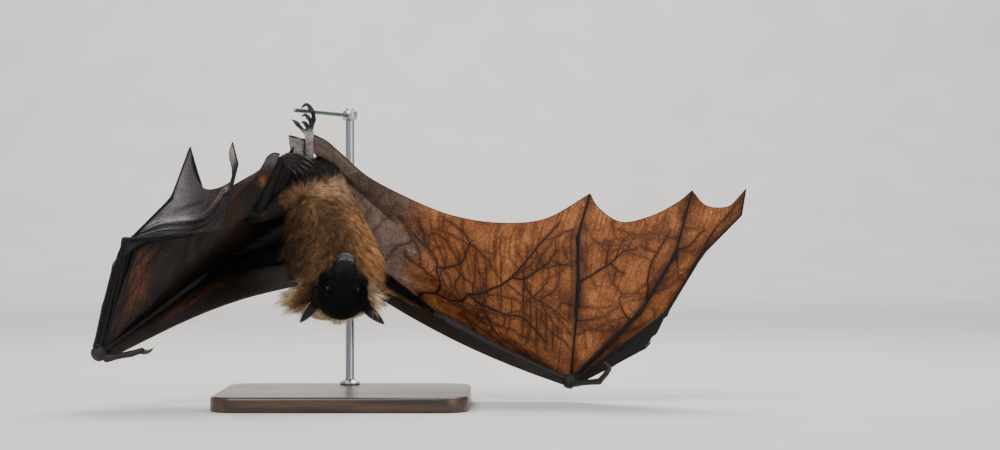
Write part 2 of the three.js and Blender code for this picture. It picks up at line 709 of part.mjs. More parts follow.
function wire(grow = 0) {
  const front = WIRE_HOLD.clone().addScaledVector(WIRE_AIM, -WIRE.reach - grow);
  const back = V(ROD.x, ROD.y, WIRE.height);
  const length = front.distanceTo(back);
  const rod = new THREE.CylinderGeometry(WIRE.radius + grow, WIRE.radius + grow, length, 12);
  const turn = new THREE.Quaternion().setFromUnitVectors(V(0, 1, 0), WIRE_AIM);
  const middle = front.lerp(back, 0.5);
  return solid(rod.applyQuaternion(turn).translate(middle.x, middle.y, middle.z));
}

// ---- Assembly --------------------------------------------------------------------------------

const COLOURS = {
  belly: [0x8a5a30, 0.9],
  ruff: [0xcfae78, 0.9],
  headFur: [0x1d1713, 0.85],
  armFur: [0x3a281c, 0.85],
  skin: [0x26211f, 0.55],
  membrane: [0x6b3c20, 0.5],
  eye: [0x1a0d06, 0.15],
  claw: [0x191614, 0.35],
  wood: [0x2a211b, 0.5],
  steel: [0x9a9a9a, 0.35, 1],
  wire: [0x1f3a2c, 0.4],
};

const bat = new THREE.Group();
bat.name = "flying_fox";

function add(name, finish, body) {
  const [color, roughness, metalness = 0] = COLOURS[finish];
  const material = new THREE.MeshStandardMaterial({ color, roughness, metalness });
  const mesh = new THREE.Mesh(geometryOf(largest(body)), material);
  mesh.name = name;
  bat.add(mesh);
}

const without = (body, ...others) => others.reduce((rest, other) => rest.subtract(other), body);

const collarRoom = ruffCore(GAP);
const skullRoom = head(GAP);
const earRoom = join([ear(-1, GAP), ear(1, GAP)]);
const trunkRoom = trunk(GAP);

add("trunk", "belly", without(trunk(), collarRoom, skullRoom, earRoom));
const crossed = [RIGHT, LEFT].flatMap((wing) => [upperArm(wing, GAP), sideSkin(wing, GAP)]);
const hair = without(locks(), trunkRoom, ...crossed);
const hairRoom = locks(GAP);
add("neck_ruff", "ruff", without(ruffCore().add(hair), skullRoom, earRoom));
add("head", "headFur", head());

for (const [name, side] of [["right", 1], ["left", -1]]) {
  add(`eye_${name}`, "eye", eye(side));
  add(`ear_${name}`, "skin", without(ear(side), skullRoom));
}

for (const [name, wing] of [["right", RIGHT], ["left", LEFT]]) {
  const room = {
    trunk: trunkRoom,
    arm: upperArm(wing, GAP),
    forearm: forearm(wing, GAP),
    wrist: wrist(wing, GAP),
    thumb: thumb(wing, GAP),
    index: indexFinger(wing, GAP),
    middle: longFinger(wing.middle, GAP),
    ring: longFinger(wing.ring, GAP),
    little: longFinger(wing.little, GAP),
    thigh: thigh(wing, GAP),
    shin: shin(wing, GAP),
  };
  add(`upper_arm_${name}`, "armFur", without(upperArm(wing), trunkRoom, collarRoom));
  add(`forearm_${name}`, "skin", without(forearm(wing), room.arm));
  add(`wrist_${name}`, "skin", without(wrist(wing), room.forearm));
  add(`thumb_${name}`, "skin", without(thumb(wing), room.wrist));
  add(`thumb_claw_${name}`, "claw", without(claw(wing.thumbClaw, 2.6), room.thumb));
  add(`index_finger_${name}`, "skin", without(indexFinger(wing), room.wrist, room.thumb));
  add(`index_claw_${name}`, "claw", without(claw(wing.indexClaw, 1.5), room.index));
  add(
    `middle_finger_${name}`,
    "skin",
    without(longFinger(wing.middle), room.wrist, room.thumb, room.index),
  );
  add(
    `ring_finger_${name}`,
    "skin",
    without(longFinger(wing.ring), room.forearm, room.wrist, room.middle, room.index, room.thumb),
  );
  add(
    `little_finger_${name}`,
    "skin",
    without(longFinger(wing.little), room.forearm, room.wrist, room.ring, room.middle, room.thumb),
  );

  const toes = wing === RIGHT ? RIGHT_TOES : LEFT_TOES;
  const heel = SPUR[name];
  const fingers = [room.thumb, room.index, room.middle, room.ring, room.little];
  const bones = [room.arm, room.forearm, room.wrist, ...fingers];
  const legs = [room.thigh, room.shin, foot(wing, toes, GAP), spur(heel, GAP)];
  const body = [trunkRoom, collarRoom, skullRoom, earRoom];
  add(`side_skin_${name}`, "membrane", without(sideSkin(wing), ...body, ...bones, ...legs));
  add(`fore_skin_${name}`, "membrane", without(foreSkin(wing), ...body, hairRoom, ...bones));
  add(
    `hand_skin_ring_little_${name}`,
    "membrane",
    without(ringToLittleSkin(wing), sideSkin(wing, GAP), ...bones),
  );
  add(`hand_skin_middle_ring_${name}`, "membrane", without(middleToRingSkin(wing), ...bones));
  add(
    `hand_skin_index_middle_${name}`,
    "membrane",
    without(indexToMiddleSkin(wing), claw(wing.indexClaw, 1.5, GAP), ...bones),
  );

  add(`thigh_${name}`, "armFur", without(thigh(wing), trunkRoom));
  add(`shin_${name}`, "skin", without(shin(wing), room.thigh, trunkRoom));
  add(`foot_${name}`, "skin", without(foot(wing, toes), room.shin, wire(GAP), trunkRoom));
  add(`spur_${name}`, "skin", without(spur(heel), room.shin, foot(wing, toes, GAP)));
  add(`tail_skin_${name}`, "membrane", without(tailSkin(wing, heel), trunkRoom, ...legs));
}

add("stand_base", "wood", standBase());
add("stand_rod", "steel", standRod());
add("stand_wire", "wire", without(wire(), standRod(GAP)));

export default bat;
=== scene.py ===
import bpy
import numpy as np
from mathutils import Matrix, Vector, noise
from mathutils.kdtree import KDTree


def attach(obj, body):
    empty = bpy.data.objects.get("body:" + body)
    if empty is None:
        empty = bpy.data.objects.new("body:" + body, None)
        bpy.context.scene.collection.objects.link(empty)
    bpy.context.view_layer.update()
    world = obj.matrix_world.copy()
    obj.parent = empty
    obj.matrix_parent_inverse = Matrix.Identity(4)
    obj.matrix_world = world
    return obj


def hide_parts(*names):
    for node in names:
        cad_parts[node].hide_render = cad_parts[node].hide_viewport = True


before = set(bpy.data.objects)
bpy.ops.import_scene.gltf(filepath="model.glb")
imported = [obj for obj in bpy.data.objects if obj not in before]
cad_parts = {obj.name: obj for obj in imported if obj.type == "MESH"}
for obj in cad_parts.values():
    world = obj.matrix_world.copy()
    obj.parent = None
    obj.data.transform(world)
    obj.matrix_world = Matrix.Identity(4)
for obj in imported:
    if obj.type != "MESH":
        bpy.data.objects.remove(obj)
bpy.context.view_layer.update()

# ---- Stand base ------------------------------------------------------------------------------
# A flat board of dark stained hardwood with rounded corners and softened edges, under a satin
# lacquer. The rod is screwed into it, and the whole model rests on its underside.

BOARD_LENGTH = 0.250
BOARD_WIDTH = 0.214
BOARD_CORNER = 0.026
BOARD_EDGE = [  # how far each contour is set in, and its height
    (0.0016, 0.0),
    (0.0004, 0.0005),
    (0.0, 0.0016),
    (0.0, 0.0121),
    (0.0005, 0.0136),
    (0.0017, 0.0147),
    (0.0033, 0.0150),
    (0.0060, 0.0150),
]


def paint(colour):
    """A colour written as #rrggbb, in the renderer's own values."""
    parts = np.array([int(colour[k : k + 2], 16) for k in (1, 3, 5)]) / 255
    return np.where(parts <= 0.04045, parts / 12.92, ((parts + 0.055) / 1.055) ** 2.4)


def opaque(colour):
    return (*paint(colour), 1.0)


def place(tree, kind, inputs=None, **options):
    """Adds a node with its options set, and its inputs given values or joined to outputs."""
    made = tree.nodes.new(kind)
    for option, value in options.items():
        setattr(made, option, value)
    for socket, value in (inputs or {}).items():
        if isinstance(value, bpy.types.NodeSocket):
            tree.links.new(value, made.inputs[socket])
        else:
            made.inputs[socket].default_value = value
    return made


def mixed(tree, share, one, two, mode="MIX"):
    """Two colours blended by a share that changes over the surface."""
    inputs = {0: share, 6: one, 7: two}
    return place(tree, "ShaderNodeMix", inputs, data_type="RGBA", blend_type=mode).outputs[2]


def tinted(tree, one, two):
    """Two colours multiplied."""
    return mixed(tree, 1.0, one, two, "MULTIPLY")


def times(tree, one, two):
    """Two values multiplied."""
    return place(tree, "ShaderNodeMath", {0: one, 1: two}, operation="MULTIPLY").outputs[0]


def spread(tree, value, low, high, to_low, to_high):
    """A value moved from one range to another, eased at both ends."""
    inputs = {"Value": value, "From Min": low, "From Max": high, "To Min": to_low, "To Max": to_high}
    return place(tree, "ShaderNodeMapRange", inputs, interpolation_type="SMOOTHSTEP").outputs[0]


def cloudy(tree, where, fineness, detail):
    """Cloudy noise, with so many clouds to the metre."""
    inputs = {"Vector": where, "Scale": fineness, "Detail": detail}
    return place(tree, "ShaderNodeTexNoise", inputs).outputs[0]


def cell_edges(tree, where, fineness):
    """How far each place is from the edge of its cell, with so many cells to the metre."""
    inputs = {"Vector": where, "Scale": fineness}
    return place(tree, "ShaderNodeTexVoronoi", inputs, feature="DISTANCE_TO_EDGE").outputs["Distance"]


def scaled(tree, where, scale):
    """Places with their axes multiplied, so that a pattern on them is drawn out."""
    return place(tree, "ShaderNodeMapping", {"Vector": where, "Scale": scale}).outputs[0]


def spot_on(tree):
    """Where each point lies on the piece."""
    return place(tree, "ShaderNodeTexCoord").outputs["Object"]


def carried(tree, name, output="Fac"):
    """What a mesh carries at each point under that name."""
    return place(tree, "ShaderNodeAttribute", attribute_name=name).outputs[output]


def relief(tree, strength, depth, height, on=None, **options):
    """A normal that a height raises by so many metres, from the plain surface or another normal."""
    inputs = {"Strength": strength, "Distance": depth, "Height": height}
    if on is not None:
        inputs["Normal"] = on
    return place(tree, "ShaderNodeBump", inputs, **options).outputs[0]


def new_finish(name, roughness, **constants):
    """A new material with constants set on its shader, and its nodes."""
    material = bpy.data.materials.new(name)
    material.use_nodes = True
    shader = material.node_tree.nodes["Principled BSDF"]
    shader.inputs["Roughness"].default_value = roughness
    for socket, value in constants.items():
        shader.inputs[socket.replace("_", " ")].default_value = value
    return material, material.node_tree


def feed(tree, **outputs):
    """Joins outputs to a material's shader."""
    for socket, output in outputs.items():
        tree.links.new(output, tree.nodes["Principled BSDF"].inputs[socket.replace("_", " ")])


def new_group(name, inputs, outputs):
    """A node group with named inputs, each with the value it starts from, and named outputs."""
    group = bpy.data.node_groups.new(name, "ShaderNodeTree")
    for label, value in inputs.items():
        kind = "NodeSocketVector" if value is None else "NodeSocketFloat"
        socket = group.interface.new_socket(label, in_out="INPUT", socket_type=kind)
        if value is not None:
            socket.default_value = value
    for label, kind in outputs.items():
        group.interface.new_socket(label, in_out="OUTPUT", socket_type=kind)
    return group, group.nodes.new("NodeGroupInput").outputs, group.nodes.new("NodeGroupOutput").inputs


# Uneven tone in patches of about one size, from 0 to 1.
mottle, given, result = new_group("mottle", {"Place": None, "Fineness": 100.0}, {"Tone": "NodeSocketFloat"})
patches = cloudy(mottle, given["Place"], given["Fineness"], 5.0)
mottle.links.new(spread(mottle, patches, 0.3, 0.7, 0.0, 1.0), result["Tone"])


def tone(tree, where, fineness):
    """The patches of the mottle group, at a fineness of so many to the metre."""
    inputs = {"Place": where, "Fineness": fineness}
    return place(tree, "ShaderNodeGroup", inputs, node_tree=mottle).outputs["Tone"]


def closed(points, faces):
    """The faces of a closed body, turned to face outwards."""
    volume = 0.0
    for group in faces:
        for k in range(1, group.shape[1] - 1):
            a, b, c = (points[group[:, j]] for j in (0, k, k + 1))
            volume += np.einsum("ij,ij->", a, np.cross(b, c))
    return faces if volume > 0 else [group[:, ::-1] for group in faces]


def tube(rings):
    """Points and faces of a closed body over a row of rings, with each end drawn to its middle."""
    rings = np.asarray(rings)
    count, sides = rings.shape[:2]
    points = np.vstack([rings.reshape(-1, 3), rings[0].mean(0), rings[-1].mean(0)])
    here = np.arange(sides)
    after = (here + 1) % sides
    start = np.arange(count - 1)[:, None] * sides
    walls = np.stack([start + here, start + after, start + sides + after, start + sides + here], -1)
    end = (count - 1) * sides
    near_cap = np.stack([np.full(sides, count * sides), after, here], -1)
    far_cap = np.stack([np.full(sides, count * sides + 1), end + here, end + after], -1)
    return points, closed(points, [walls.reshape(-1, 4), np.vstack([near_cap, far_cap])])


def new_piece(name, points, faces):
    """A smoothly shaded mesh object."""
    mesh = bpy.data.meshes.new(name)
    corners = np.concatenate([group.ravel() for group in faces]).astype(np.int32)
    sizes = np.concatenate([np.full(len(group), group.shape[1]) for group in faces])
    mesh.vertices.add(len(points))
    mesh.vertices.foreach_set("co", np.asarray(points, np.float32).ravel())
    mesh.loops.add(len(corners))
    mesh.loops.foreach_set("vertex_index", corners)
    mesh.polygons.add(len(sizes))
    mesh.polygons.foreach_set("loop_start", (np.cumsum(sizes) - sizes).astype(np.int32))
    mesh.polygons.foreach_set("use_smooth", np.ones(len(sizes), bool))
    mesh.update(calc_edges=True)
    made = bpy.data.objects.new(name, mesh)
    bpy.context.scene.collection.objects.link(made)
    return made


def board_contour(inset, height):
    corner = BOARD_CORNER - inset
    turn = np.linspace(0, np.pi / 2, 13)
    contour = []
    for quarter, (x, y) in enumerate([(1, 1), (-1, 1), (-1, -1), (1, -1)]):
        middle = np.array([x * (BOARD_LENGTH / 2 - BOARD_CORNER), y * (BOARD_WIDTH / 2 - BOARD_CORNER)])
        angle = turn + quarter * np.pi / 2
        arc = middle + corner * np.stack([np.cos(angle), np.sin(angle)], -1)
        contour.append(np.column_stack([arc, np.full(len(arc), height)]))
    return np.vstack(contour)


wood, nodes = new_finish("stained hardwood", 0.4, Coat_Weight=0.35, Coat_Roughness=0.22)
along_grain = scaled(nodes, spot_on(nodes), (6.0, 70.0, 70.0))
waver = cloudy(nodes, along_grain, 1.0, 6.0)
banding = {"Vector": along_grain, "Scale": 0.55, "Distortion": 7.0, "Detail": 3.0, "Detail Scale": 1.4}
year_rings = place(nodes, "ShaderNodeTexWave", banding, bands_direction="Y").outputs["Fac"]
pores = cloudy(nodes, scaled(nodes, spot_on(nodes), (60.0, 1500.0, 1500.0)), 1.0, 2.0)
pore_mask = spread(nodes, pores, 0.56, 0.7, 0.0, 1.0)
stain = mixed(nodes, year_rings, opaque("#2b1a11"), opaque("#54351f"))
stain = mixed(nodes, spread(nodes, waver, 0.35, 0.7, 0.0, 0.75), stain, opaque("#3a2416"))
stain = mixed(nodes, pore_mask, stain, opaque("#150c07"))
lacquer = spread(nodes, waver, 0.3, 0.7, 0.34, 0.5)
grain_normal = relief(nodes, 0.25, 0.0002, pore_mask, invert=True)
feed(nodes, Base_Color=stain, Roughness=lacquer, Normal=grain_normal)

board = new_piece("stand_board", *tube([board_contour(*edge) for edge in BOARD_EDGE]))
board.data.materials.append(wood)
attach(board, "root")
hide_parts("stand_base")

# ---- Stand rod -------------------------------------------------------------------------------
# A brushed steel rod with a domed top, screwed through a small turned flange into the board.
# It stands behind the animal and carries the perch wire near its top.

ROD_PLACE = np.array([0.0, 0.080])
ROD_OUTLINE = [  # radius and height, from the foot of the flange to the dome
    (0.0102, 0.0152),
    (0.0105, 0.0157),
    (0.0105, 0.0172),
    (0.0098, 0.0181),
    (0.0062, 0.0194),
    (0.0052, 0.0204),
    (0.0045, 0.0222),
    (0.0045, 0.1200),
    (0.0045, 0.2200),
    (0.0045, 0.2985),
    (0.0041, 0.3000),
    (0.0030, 0.3008),
    (0.0015, 0.3010),
]


def turned(outline, sides=32):
    """Rings of a turned body round the rod's own axis."""
    angle = np.linspace(0, 2 * np.pi, sides, endpoint=False)
    circle = np.stack([np.cos(angle), np.sin(angle)], -1)
    rings = []
    for radius, height in outline:
        rings.append(np.column_stack([ROD_PLACE + radius * circle, np.full(sides, height)]))
    return rings


steel, nodes = new_finish("brushed steel", 0.3, Metallic=1.0)
strokes = cloudy(nodes, scaled(nodes, spot_on(nodes), (2200.0, 2200.0, 45.0)), 1.0, 4.0)
brushed = mixed(nodes, strokes, opaque("#9b9b9e"), opaque("#cfcfd2"))
polish = spread(nodes, strokes, 0.3, 0.7, 0.22, 0.42)
feed(nodes, Base_Color=brushed, Roughness=polish, Normal=relief(nodes, 0.12, 0.0001, strokes))

rod = new_piece("stand_upright", *tube(turned(ROD_OUTLINE)))
rod.data.materials.append(steel)
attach(rod, "root")
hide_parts("stand_rod")

# ---- Perch wire ------------------------------------------------------------------------------
# A cut length of steel wire in a dark green plastic coat, like cage mesh. It runs from a pinch
# collar on the rod over the foot and a little past it, and its steel core shows at the cut end.

WIRE_HEIGHT = 0.293
WIRE_HOLD = np.array([-0.037, -0.013, WIRE_HEIGHT])
WIRE_END = np.array([0.0, 0.080, WIRE_HEIGHT])
WIRE_AIM = (WIRE_END - WIRE_HOLD) / np.linalg.norm(WIRE_END - WIRE_HOLD)
WIRE_REACH = 0.028
WIRE_RADIUS = 0.002
WIRE_SWELL = 0.03  # how much the coat swells and thins along it, as a share of its radius
CUT_EDGE = [(0.0010, 0.0012), (0.0011, 0.00165), (0.0015, 0.0019)]
CORE_OUTLINE = [(0.0001, 0.0009), (0.0003, 0.0011), (0.002, 0.0011)]
COLLAR_OUTLINE = [
    (0.0047, 0.2882),
    (0.0068, 0.2882),
    (0.0074, 0.2889),
    (0.0074, 0.2971),
    (0.0068, 0.2978),
    (0.0047, 0.2978),
]


def round_wire(profile, sides=20):
    """Rings about the wire's line: each row is a distance behind its cut end, and a radius."""
    start = WIRE_HOLD - WIRE_AIM * WIRE_REACH
    across = np.cross(WIRE_AIM, (0, 0, 1))
    angle = np.linspace(0, 2 * np.pi, sides, endpoint=False)[:, None]
    circle = np.cos(angle) * across + np.sin(angle) * np.array([0, 0, 1])
    return [start + WIRE_AIM * distance + radius * circle for distance, radius in profile]


plastic, nodes = new_finish("green plastic coat", 0.32, Coat_Weight=0.2, Coat_Roughness=0.3)
dust = tone(nodes, spot_on(nodes), 260.0)
green = mixed(nodes, dust, opaque("#17382b"), opaque("#26503d"))
dusty = spread(nodes, dust, 0.0, 1.0, 0.28, 0.5)
feed(nodes, Base_Color=green, Roughness=dusty, Normal=relief(nodes, 0.3, 0.0002, dust))

reach = np.linalg.norm(WIRE_END - WIRE_HOLD) + WIRE_REACH
lengths = np.linspace(0.0022, reach - 0.0045, 60)
swell = [(distance, WIRE_RADIUS * (1 + WIRE_SWELL * np.sin(900 * distance))) for distance in lengths]
wire = new_piece("stand_perch_wire", *tube(round_wire(CUT_EDGE + swell)))
wire.data.materials.append(plastic)
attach(wire, "root")
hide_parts("stand_wire")

core = new_piece("stand_wire_core", *tube(round_wire(CORE_OUTLINE, 16)))
core.data.materials.append(steel)
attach(core, "root")

collar = new_piece("stand_wire_collar", *tube(turned(COLLAR_OUTLINE)))
collar.data.materials.append(steel)
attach(collar, "root")

# ---- Skin: trunk and neck --------------------------------------------------------------------
# The animal is modelled as one skin over its whole body. Every limb is first laid out as a body
# of its own, and all are then fused. The trunk hangs head down and lies inside its own coat.

TRUNK_COAT = 4.0  # how deep the coat is, in millimetres; the skin lies this far in
TRUNK = [  # middle, half width and half depth, from the rump down to the shoulders
    (-27, 14, 246, 8, 8),
    (-28, 12, 237, 22, 20),
    (-27, 9, 220, 32, 30),
    (-22, 7, 196, 38, 35),
    (-17, 6, 172, 42, 37),
    (-13, 8, 150, 46, 38),
    (-10, 9, 130, 46, 36),
    (-8, 10, 114, 36, 28),
    (-7, 10, 106, 16, 12),
]
NECK_MIDDLE = (-11, 8, 116)
NECK_SIZE = (39, 25, 21)


def mm(*places):
    """Places in millimetres, in metres."""
    return np.array(places if np.ndim(places[0]) else places, float) / 1000


def unit(v):
    return v / np.linalg.norm(v, axis=-1, keepdims=True)


def graded(rows, t):
    """The columns of a table at each t, eased through its rows, each of which starts with its t."""
    rows = np.array(rows, float)
    knots = rows[:, 0]
    i = np.clip(np.searchsorted(knots, t, side="right") - 1, 0, len(knots) - 2)
    gap = knots[i + 1] - knots[i]
    x = np.clip((t - knots[i]) / gap, 0, 1)
    columns = []
    for values in rows[:, 1:].T:
        slope = np.gradient(values, knots)
        a, b = values[i], values[i + 1]
        lead = (x - 2 * x**2 + x**3) * slope[i] * gap + (x**3 - x**2) * slope[i + 1] * gap
        columns.append(a + (b - a) * (3 * x**2 - 2 * x**3) + lead)
    return columns


def smooth_line(points, count):
    """Evenly spaced places on one smooth curve through the points."""
    points = np.asarray(points, float)
    ends = [2 * points[0] - points[1], *points, 2 * points[-1] - points[-2]]
    t = np.linspace(0, 1, 33)[:-1, None]
    fine = []
    for a, b, c, d in zip(ends, ends[1:], ends[2:], ends[3:]):
        before, here, after = (max(np.linalg.norm(q - p), 1e-9) ** 0.5 for p, q in ((a, b), (b, c), (c, d)))
        leave = here * ((b - a) / before - (c - a) / (before + here) + (c - b) / here)
        arrive = here * ((c - b) / here - (d - b) / (here + after) + (d - c) / after)
        bend = -3 * b + 3 * c - 2 * leave - arrive
        fine.append(b + leave * t + bend * t**2 + (2 * b - 2 * c + leave + arrive) * t**3)
    fine = np.vstack([*fine, points[-1:]])
    length = np.concatenate([[0], np.cumsum(np.linalg.norm(np.diff(fine, axis=0), axis=1))])
    even = np.linspace(0, length[-1], count)
    return np.stack([np.interp(even, length, fine[:, k]) for k in range(fine.shape[1])], axis=1)


def ovals(middle, side, rise, width, above, below, sides):
    """Oval rings about a row of middles. Above and below the side axis their height may differ."""
    angle = np.linspace(0, 2 * np.pi, sides, endpoint=False)
    height = np.where(np.sin(angle) > 0, np.reshape(above, (-1, 1)), np.reshape(below, (-1, 1)))
    width = np.reshape(width, (-1, 1)) * np.cos(angle)
    side, rise = (np.broadcast_to(v, middle.shape)[:, None] for v in (side, rise))
    return middle[:, None] + side * width[..., None] + rise * (height * np.sin(angle))[..., None]


body_parts = []  # each part's name, points, faces, and where each point lies along and round it


def lay(name, rings):
    """Adds a part of the body over a row of rings."""
    points, faces = tube(rings)
    count, sides = np.shape(rings)[:2]
    along = np.append(np.repeat(np.linspace(0, 1, count), sides), (0, 1))
    around = np.append(np.tile(np.arange(sides) / sides, count), (0, 0))
    body_parts.append((name, points, faces, along, around))


def ball_rings(middle, sizes, sides=24, count=17):
    """Rings of a ball or egg: its half width, depth and height in millimetres, or one size for all."""
    width, depth, height = np.broadcast_to(sizes, 3) / 1000
    tilt = np.linspace(-np.pi / 2, np.pi / 2, count)[1:-1]
    at = middle + np.outer(np.sin(tilt), (0, 0, height))
    level = np.cos(tilt)
    return ovals(at, (1.0, 0, 0), (0, -1.0, 0), width * level, depth * level, depth * level, sides)


rows = [(i, *section) for i, section in enumerate(TRUNK)]
x, y, z, width, depth = graded(rows, np.linspace(0, len(TRUNK) - 1, 72))
width, depth = (np.maximum(size - TRUNK_COAT, 3) / 1000 for size in (width, depth))
lay("trunk", ovals(mm(*zip(x, y, z)), (1.0, 0, 0), (0, -1.0, 0), width, depth, depth, 72))
lay("neck", ball_rings(mm(*NECK_MIDDLE), NECK_SIZE, 64, 41))

# ---- Skin: head ------------------------------------------------------------------------------
# A fox-like head seen from below: round skull, tapering muzzle, padded nose with two open
# nostrils, lips drawn back along the mouth, cheeks, brows, sockets, and curled pointed ears.

SKULL = mm(-2, -20, 113)
NOSE = mm(5, -60, 149)
HEAD_COAT = 2.4
HEAD = [  # distance from the skull's middle towards the nose, half width, height above, depth below
    (-28, 9, 9, 9),
    (-22, 19, 18, 17),
    (-12, 26, 24, 22),
    (-1, 27.5, 25, 24),
    (8, 25, 22.5, 22.5),
    (16, 20.5, 18.5, 19),
    (24, 15.5, 14.5, 15),
    (32, 12, 11.5, 12.5),
    (40, 10.2, 9.8, 11),
    (47, 9.4, 8.8, 9.6),
    (51.5, 7.6, 6.6, 7.4),
    (53.5, 4.5, 4, 4.4),
]
FORWARD = unit(NOSE - SKULL)
RIGHTWARD = unit(np.cross(FORWARD, (0, -0.66, -0.75)))
UPWARD = np.cross(RIGHTWARD, FORWARD)
EYE_ALONG = 19
EYE_ANGLE = 42
EYE_RADIUS = 5.0
EYE_SUNK = 3.6
NOSTRIL = (50.5, 4.1, 2.8)
NOSTRIL_RADIUS = 3.2
MOUTH_ANGLE = -36
EAR_LENGTH = 31
EAR_WIDTH = 7.5
EAR_CURL = 1.15
EAR_ROOT_SIZE = 6.5
EAR_THICKNESS = 0.0015
CHEEK_SIZE = (7.5, 7.5, 9)
LIPS = [(0, 0.6), (0.1, 1.45), (0.5, 1.7), (0.9, 1.45), (1, 0.6)]  # their half width along the mouth


def on_axes(along, side, rise):
    """A place on the head, in millimetres forward, to the animal's right and up."""
    return SKULL + (FORWARD * along + RIGHTWARD * side + UPWARD * rise) / 1000


def on_head(along, degrees, side, out=0.0):
    """A place on the head's outline, at an angle above the level of the mouth."""
    width, above, below = (float(v) for v in graded(HEAD, np.array(along, float)))
    angle = np.radians(degrees)
    height = above if angle > 0 else below
    return on_axes(along, side * (width + out) * np.cos(angle), (height + out) * np.sin(angle))


def along_limb(points, rows, rise=(0.0, -1.0, 0.0), sides=20, steps=48):
    """Rings along a smooth curve. Each row has its t, half width and, where it differs, half height."""
    middle = smooth_line(points, steps + 1)
    tangent = unit(np.gradient(middle, axis=0))
    side = unit(np.cross(tangent, rise))
    up = np.cross(side, tangent)
    width, *height = (size / 1000 for size in graded(rows, np.linspace(0, 1, steps + 1)))
    height = height[0] if height else width
    return ovals(middle, side, up, width, height, height, sides)


def eye_place(side):
    return on_head(EYE_ALONG, EYE_ANGLE, side, -EYE_SUNK)


def nostril_place(side):
    return on_axes(NOSTRIL[0] + 1.7, side * (NOSTRIL[1] + 0.4) + 0.7, NOSTRIL[2] + 2.5)


def mouth_route():
    halves = [[on_head(a, MOUTH_ANGLE, side) for a in (18, 28, 38, 46)] for side in (-1, 1)]
    return np.array([*halves[0], on_axes(50.6, 0, -4.5), *halves[1][::-1]])


def ear_leaf(side, u, v):
    """A place on the middle of an ear's cup: u from its root to its tip, v across it."""
    root = on_head(-12, 10, side, -4)
    axis = unit(np.array([0.64 + 0.05 * (side > 0), 0.3, -0.7 + 0.07 * (side > 0)]) * (side, 1, 1))
    across = unit(np.cross(axis, (0.35 * side, -1, 0)))
    outward = np.cross(across, axis)
    wide = EAR_WIDTH * (0.55 + 0.9 * u) * np.minimum(1, 1.25 * (1 - u)) ** 0.75 + 0.3
    bend = EAR_CURL * (2 * v - 1) * (1.2 - 0.5 * u)
    lift = wide * (1 - np.cos(bend)) - 2 * np.sin(np.pi * u)
    parts = [(axis, EAR_LENGTH * u), (across, wide * np.sin(bend)), (outward, lift)]
    return root + sum(np.multiply.outer(size / 1000, way) for way, size in parts)


along = np.linspace(-28, 53.5, 84)
width, above, below = graded(HEAD, along)
inset = HEAD_COAT * np.clip((40 - along) / 14, 0, 1)
muzzle = np.array([on_axes(a, 0, 0) for a in along])
sizes = [np.maximum(size - inset, 2) / 1000 for size in (width, above, below)]
lay("head", ovals(muzzle, RIGHTWARD, UPWARD, *sizes, 64))
lay("lips", along_limb(mouth_route(), LIPS, rise=UPWARD, sides=12, steps=80))
for side in (-1, 1):
    lay("nose", ball_rings(on_axes(NOSTRIL[0], side * NOSTRIL[1], NOSTRIL[2]), NOSTRIL_RADIUS))
    lay("brow", ball_rings(eye_place(side), EYE_RADIUS + 1.0, 32, 21))
    lay("cheek", ball_rings(on_head(14, -8, side, -6.5), CHEEK_SIZE))
    root = ear_leaf(side, 0.05, 0.5)
    lay("ear_root", ball_rings(root + FORWARD * 0.001, EAR_ROOT_SIZE))
    leaf = []
    turn = np.linspace(0, 2 * np.pi, 40, endpoint=False)
    for u in np.linspace(0.02, 0.985, 44):
        v = 0.5 - 0.49 * np.cos(turn)
        thick = EAR_THICKNESS * (1 - 0.12 * u) / 2
        spine = ear_leaf(side, u, v)
        over = unit(ear_leaf(side, u, np.minimum(v + 0.02, 1.02)) - ear_leaf(side, u, v - 0.02))
        stem = unit(ear_leaf(side, min(u + 0.02, 1), v) - ear_leaf(side, u - 0.02, v))
        face = unit(np.cross(over, stem))
        rim = 1 + 0.35 * np.exp(-((np.abs(2 * v - 1) - 1) ** 2) / 0.02)
        section = np.sign(np.sin(turn)) * np.abs(np.sin(turn)) ** 0.35
        leaf.append(spine + face * (thick * rim * section)[:, None])
    lay("ear_leaf", leaf)
lay("nose", ball_rings(on_axes(51.2, 0, 2.0), (3.4, 3.0, 3.0)))
lay("nose", ball_rings(on_axes(49.5, 0, -2.6), (5.2, 4.0, 4.0)))

# ---- Skin: arms and hands --------------------------------------------------------------------
# Each arm folds at the elbow and wrist. Four long fingers carry the wing, with a knuckle at every
# joint and bone that thins towards the tip, and a short free thumb stands off the wrist.

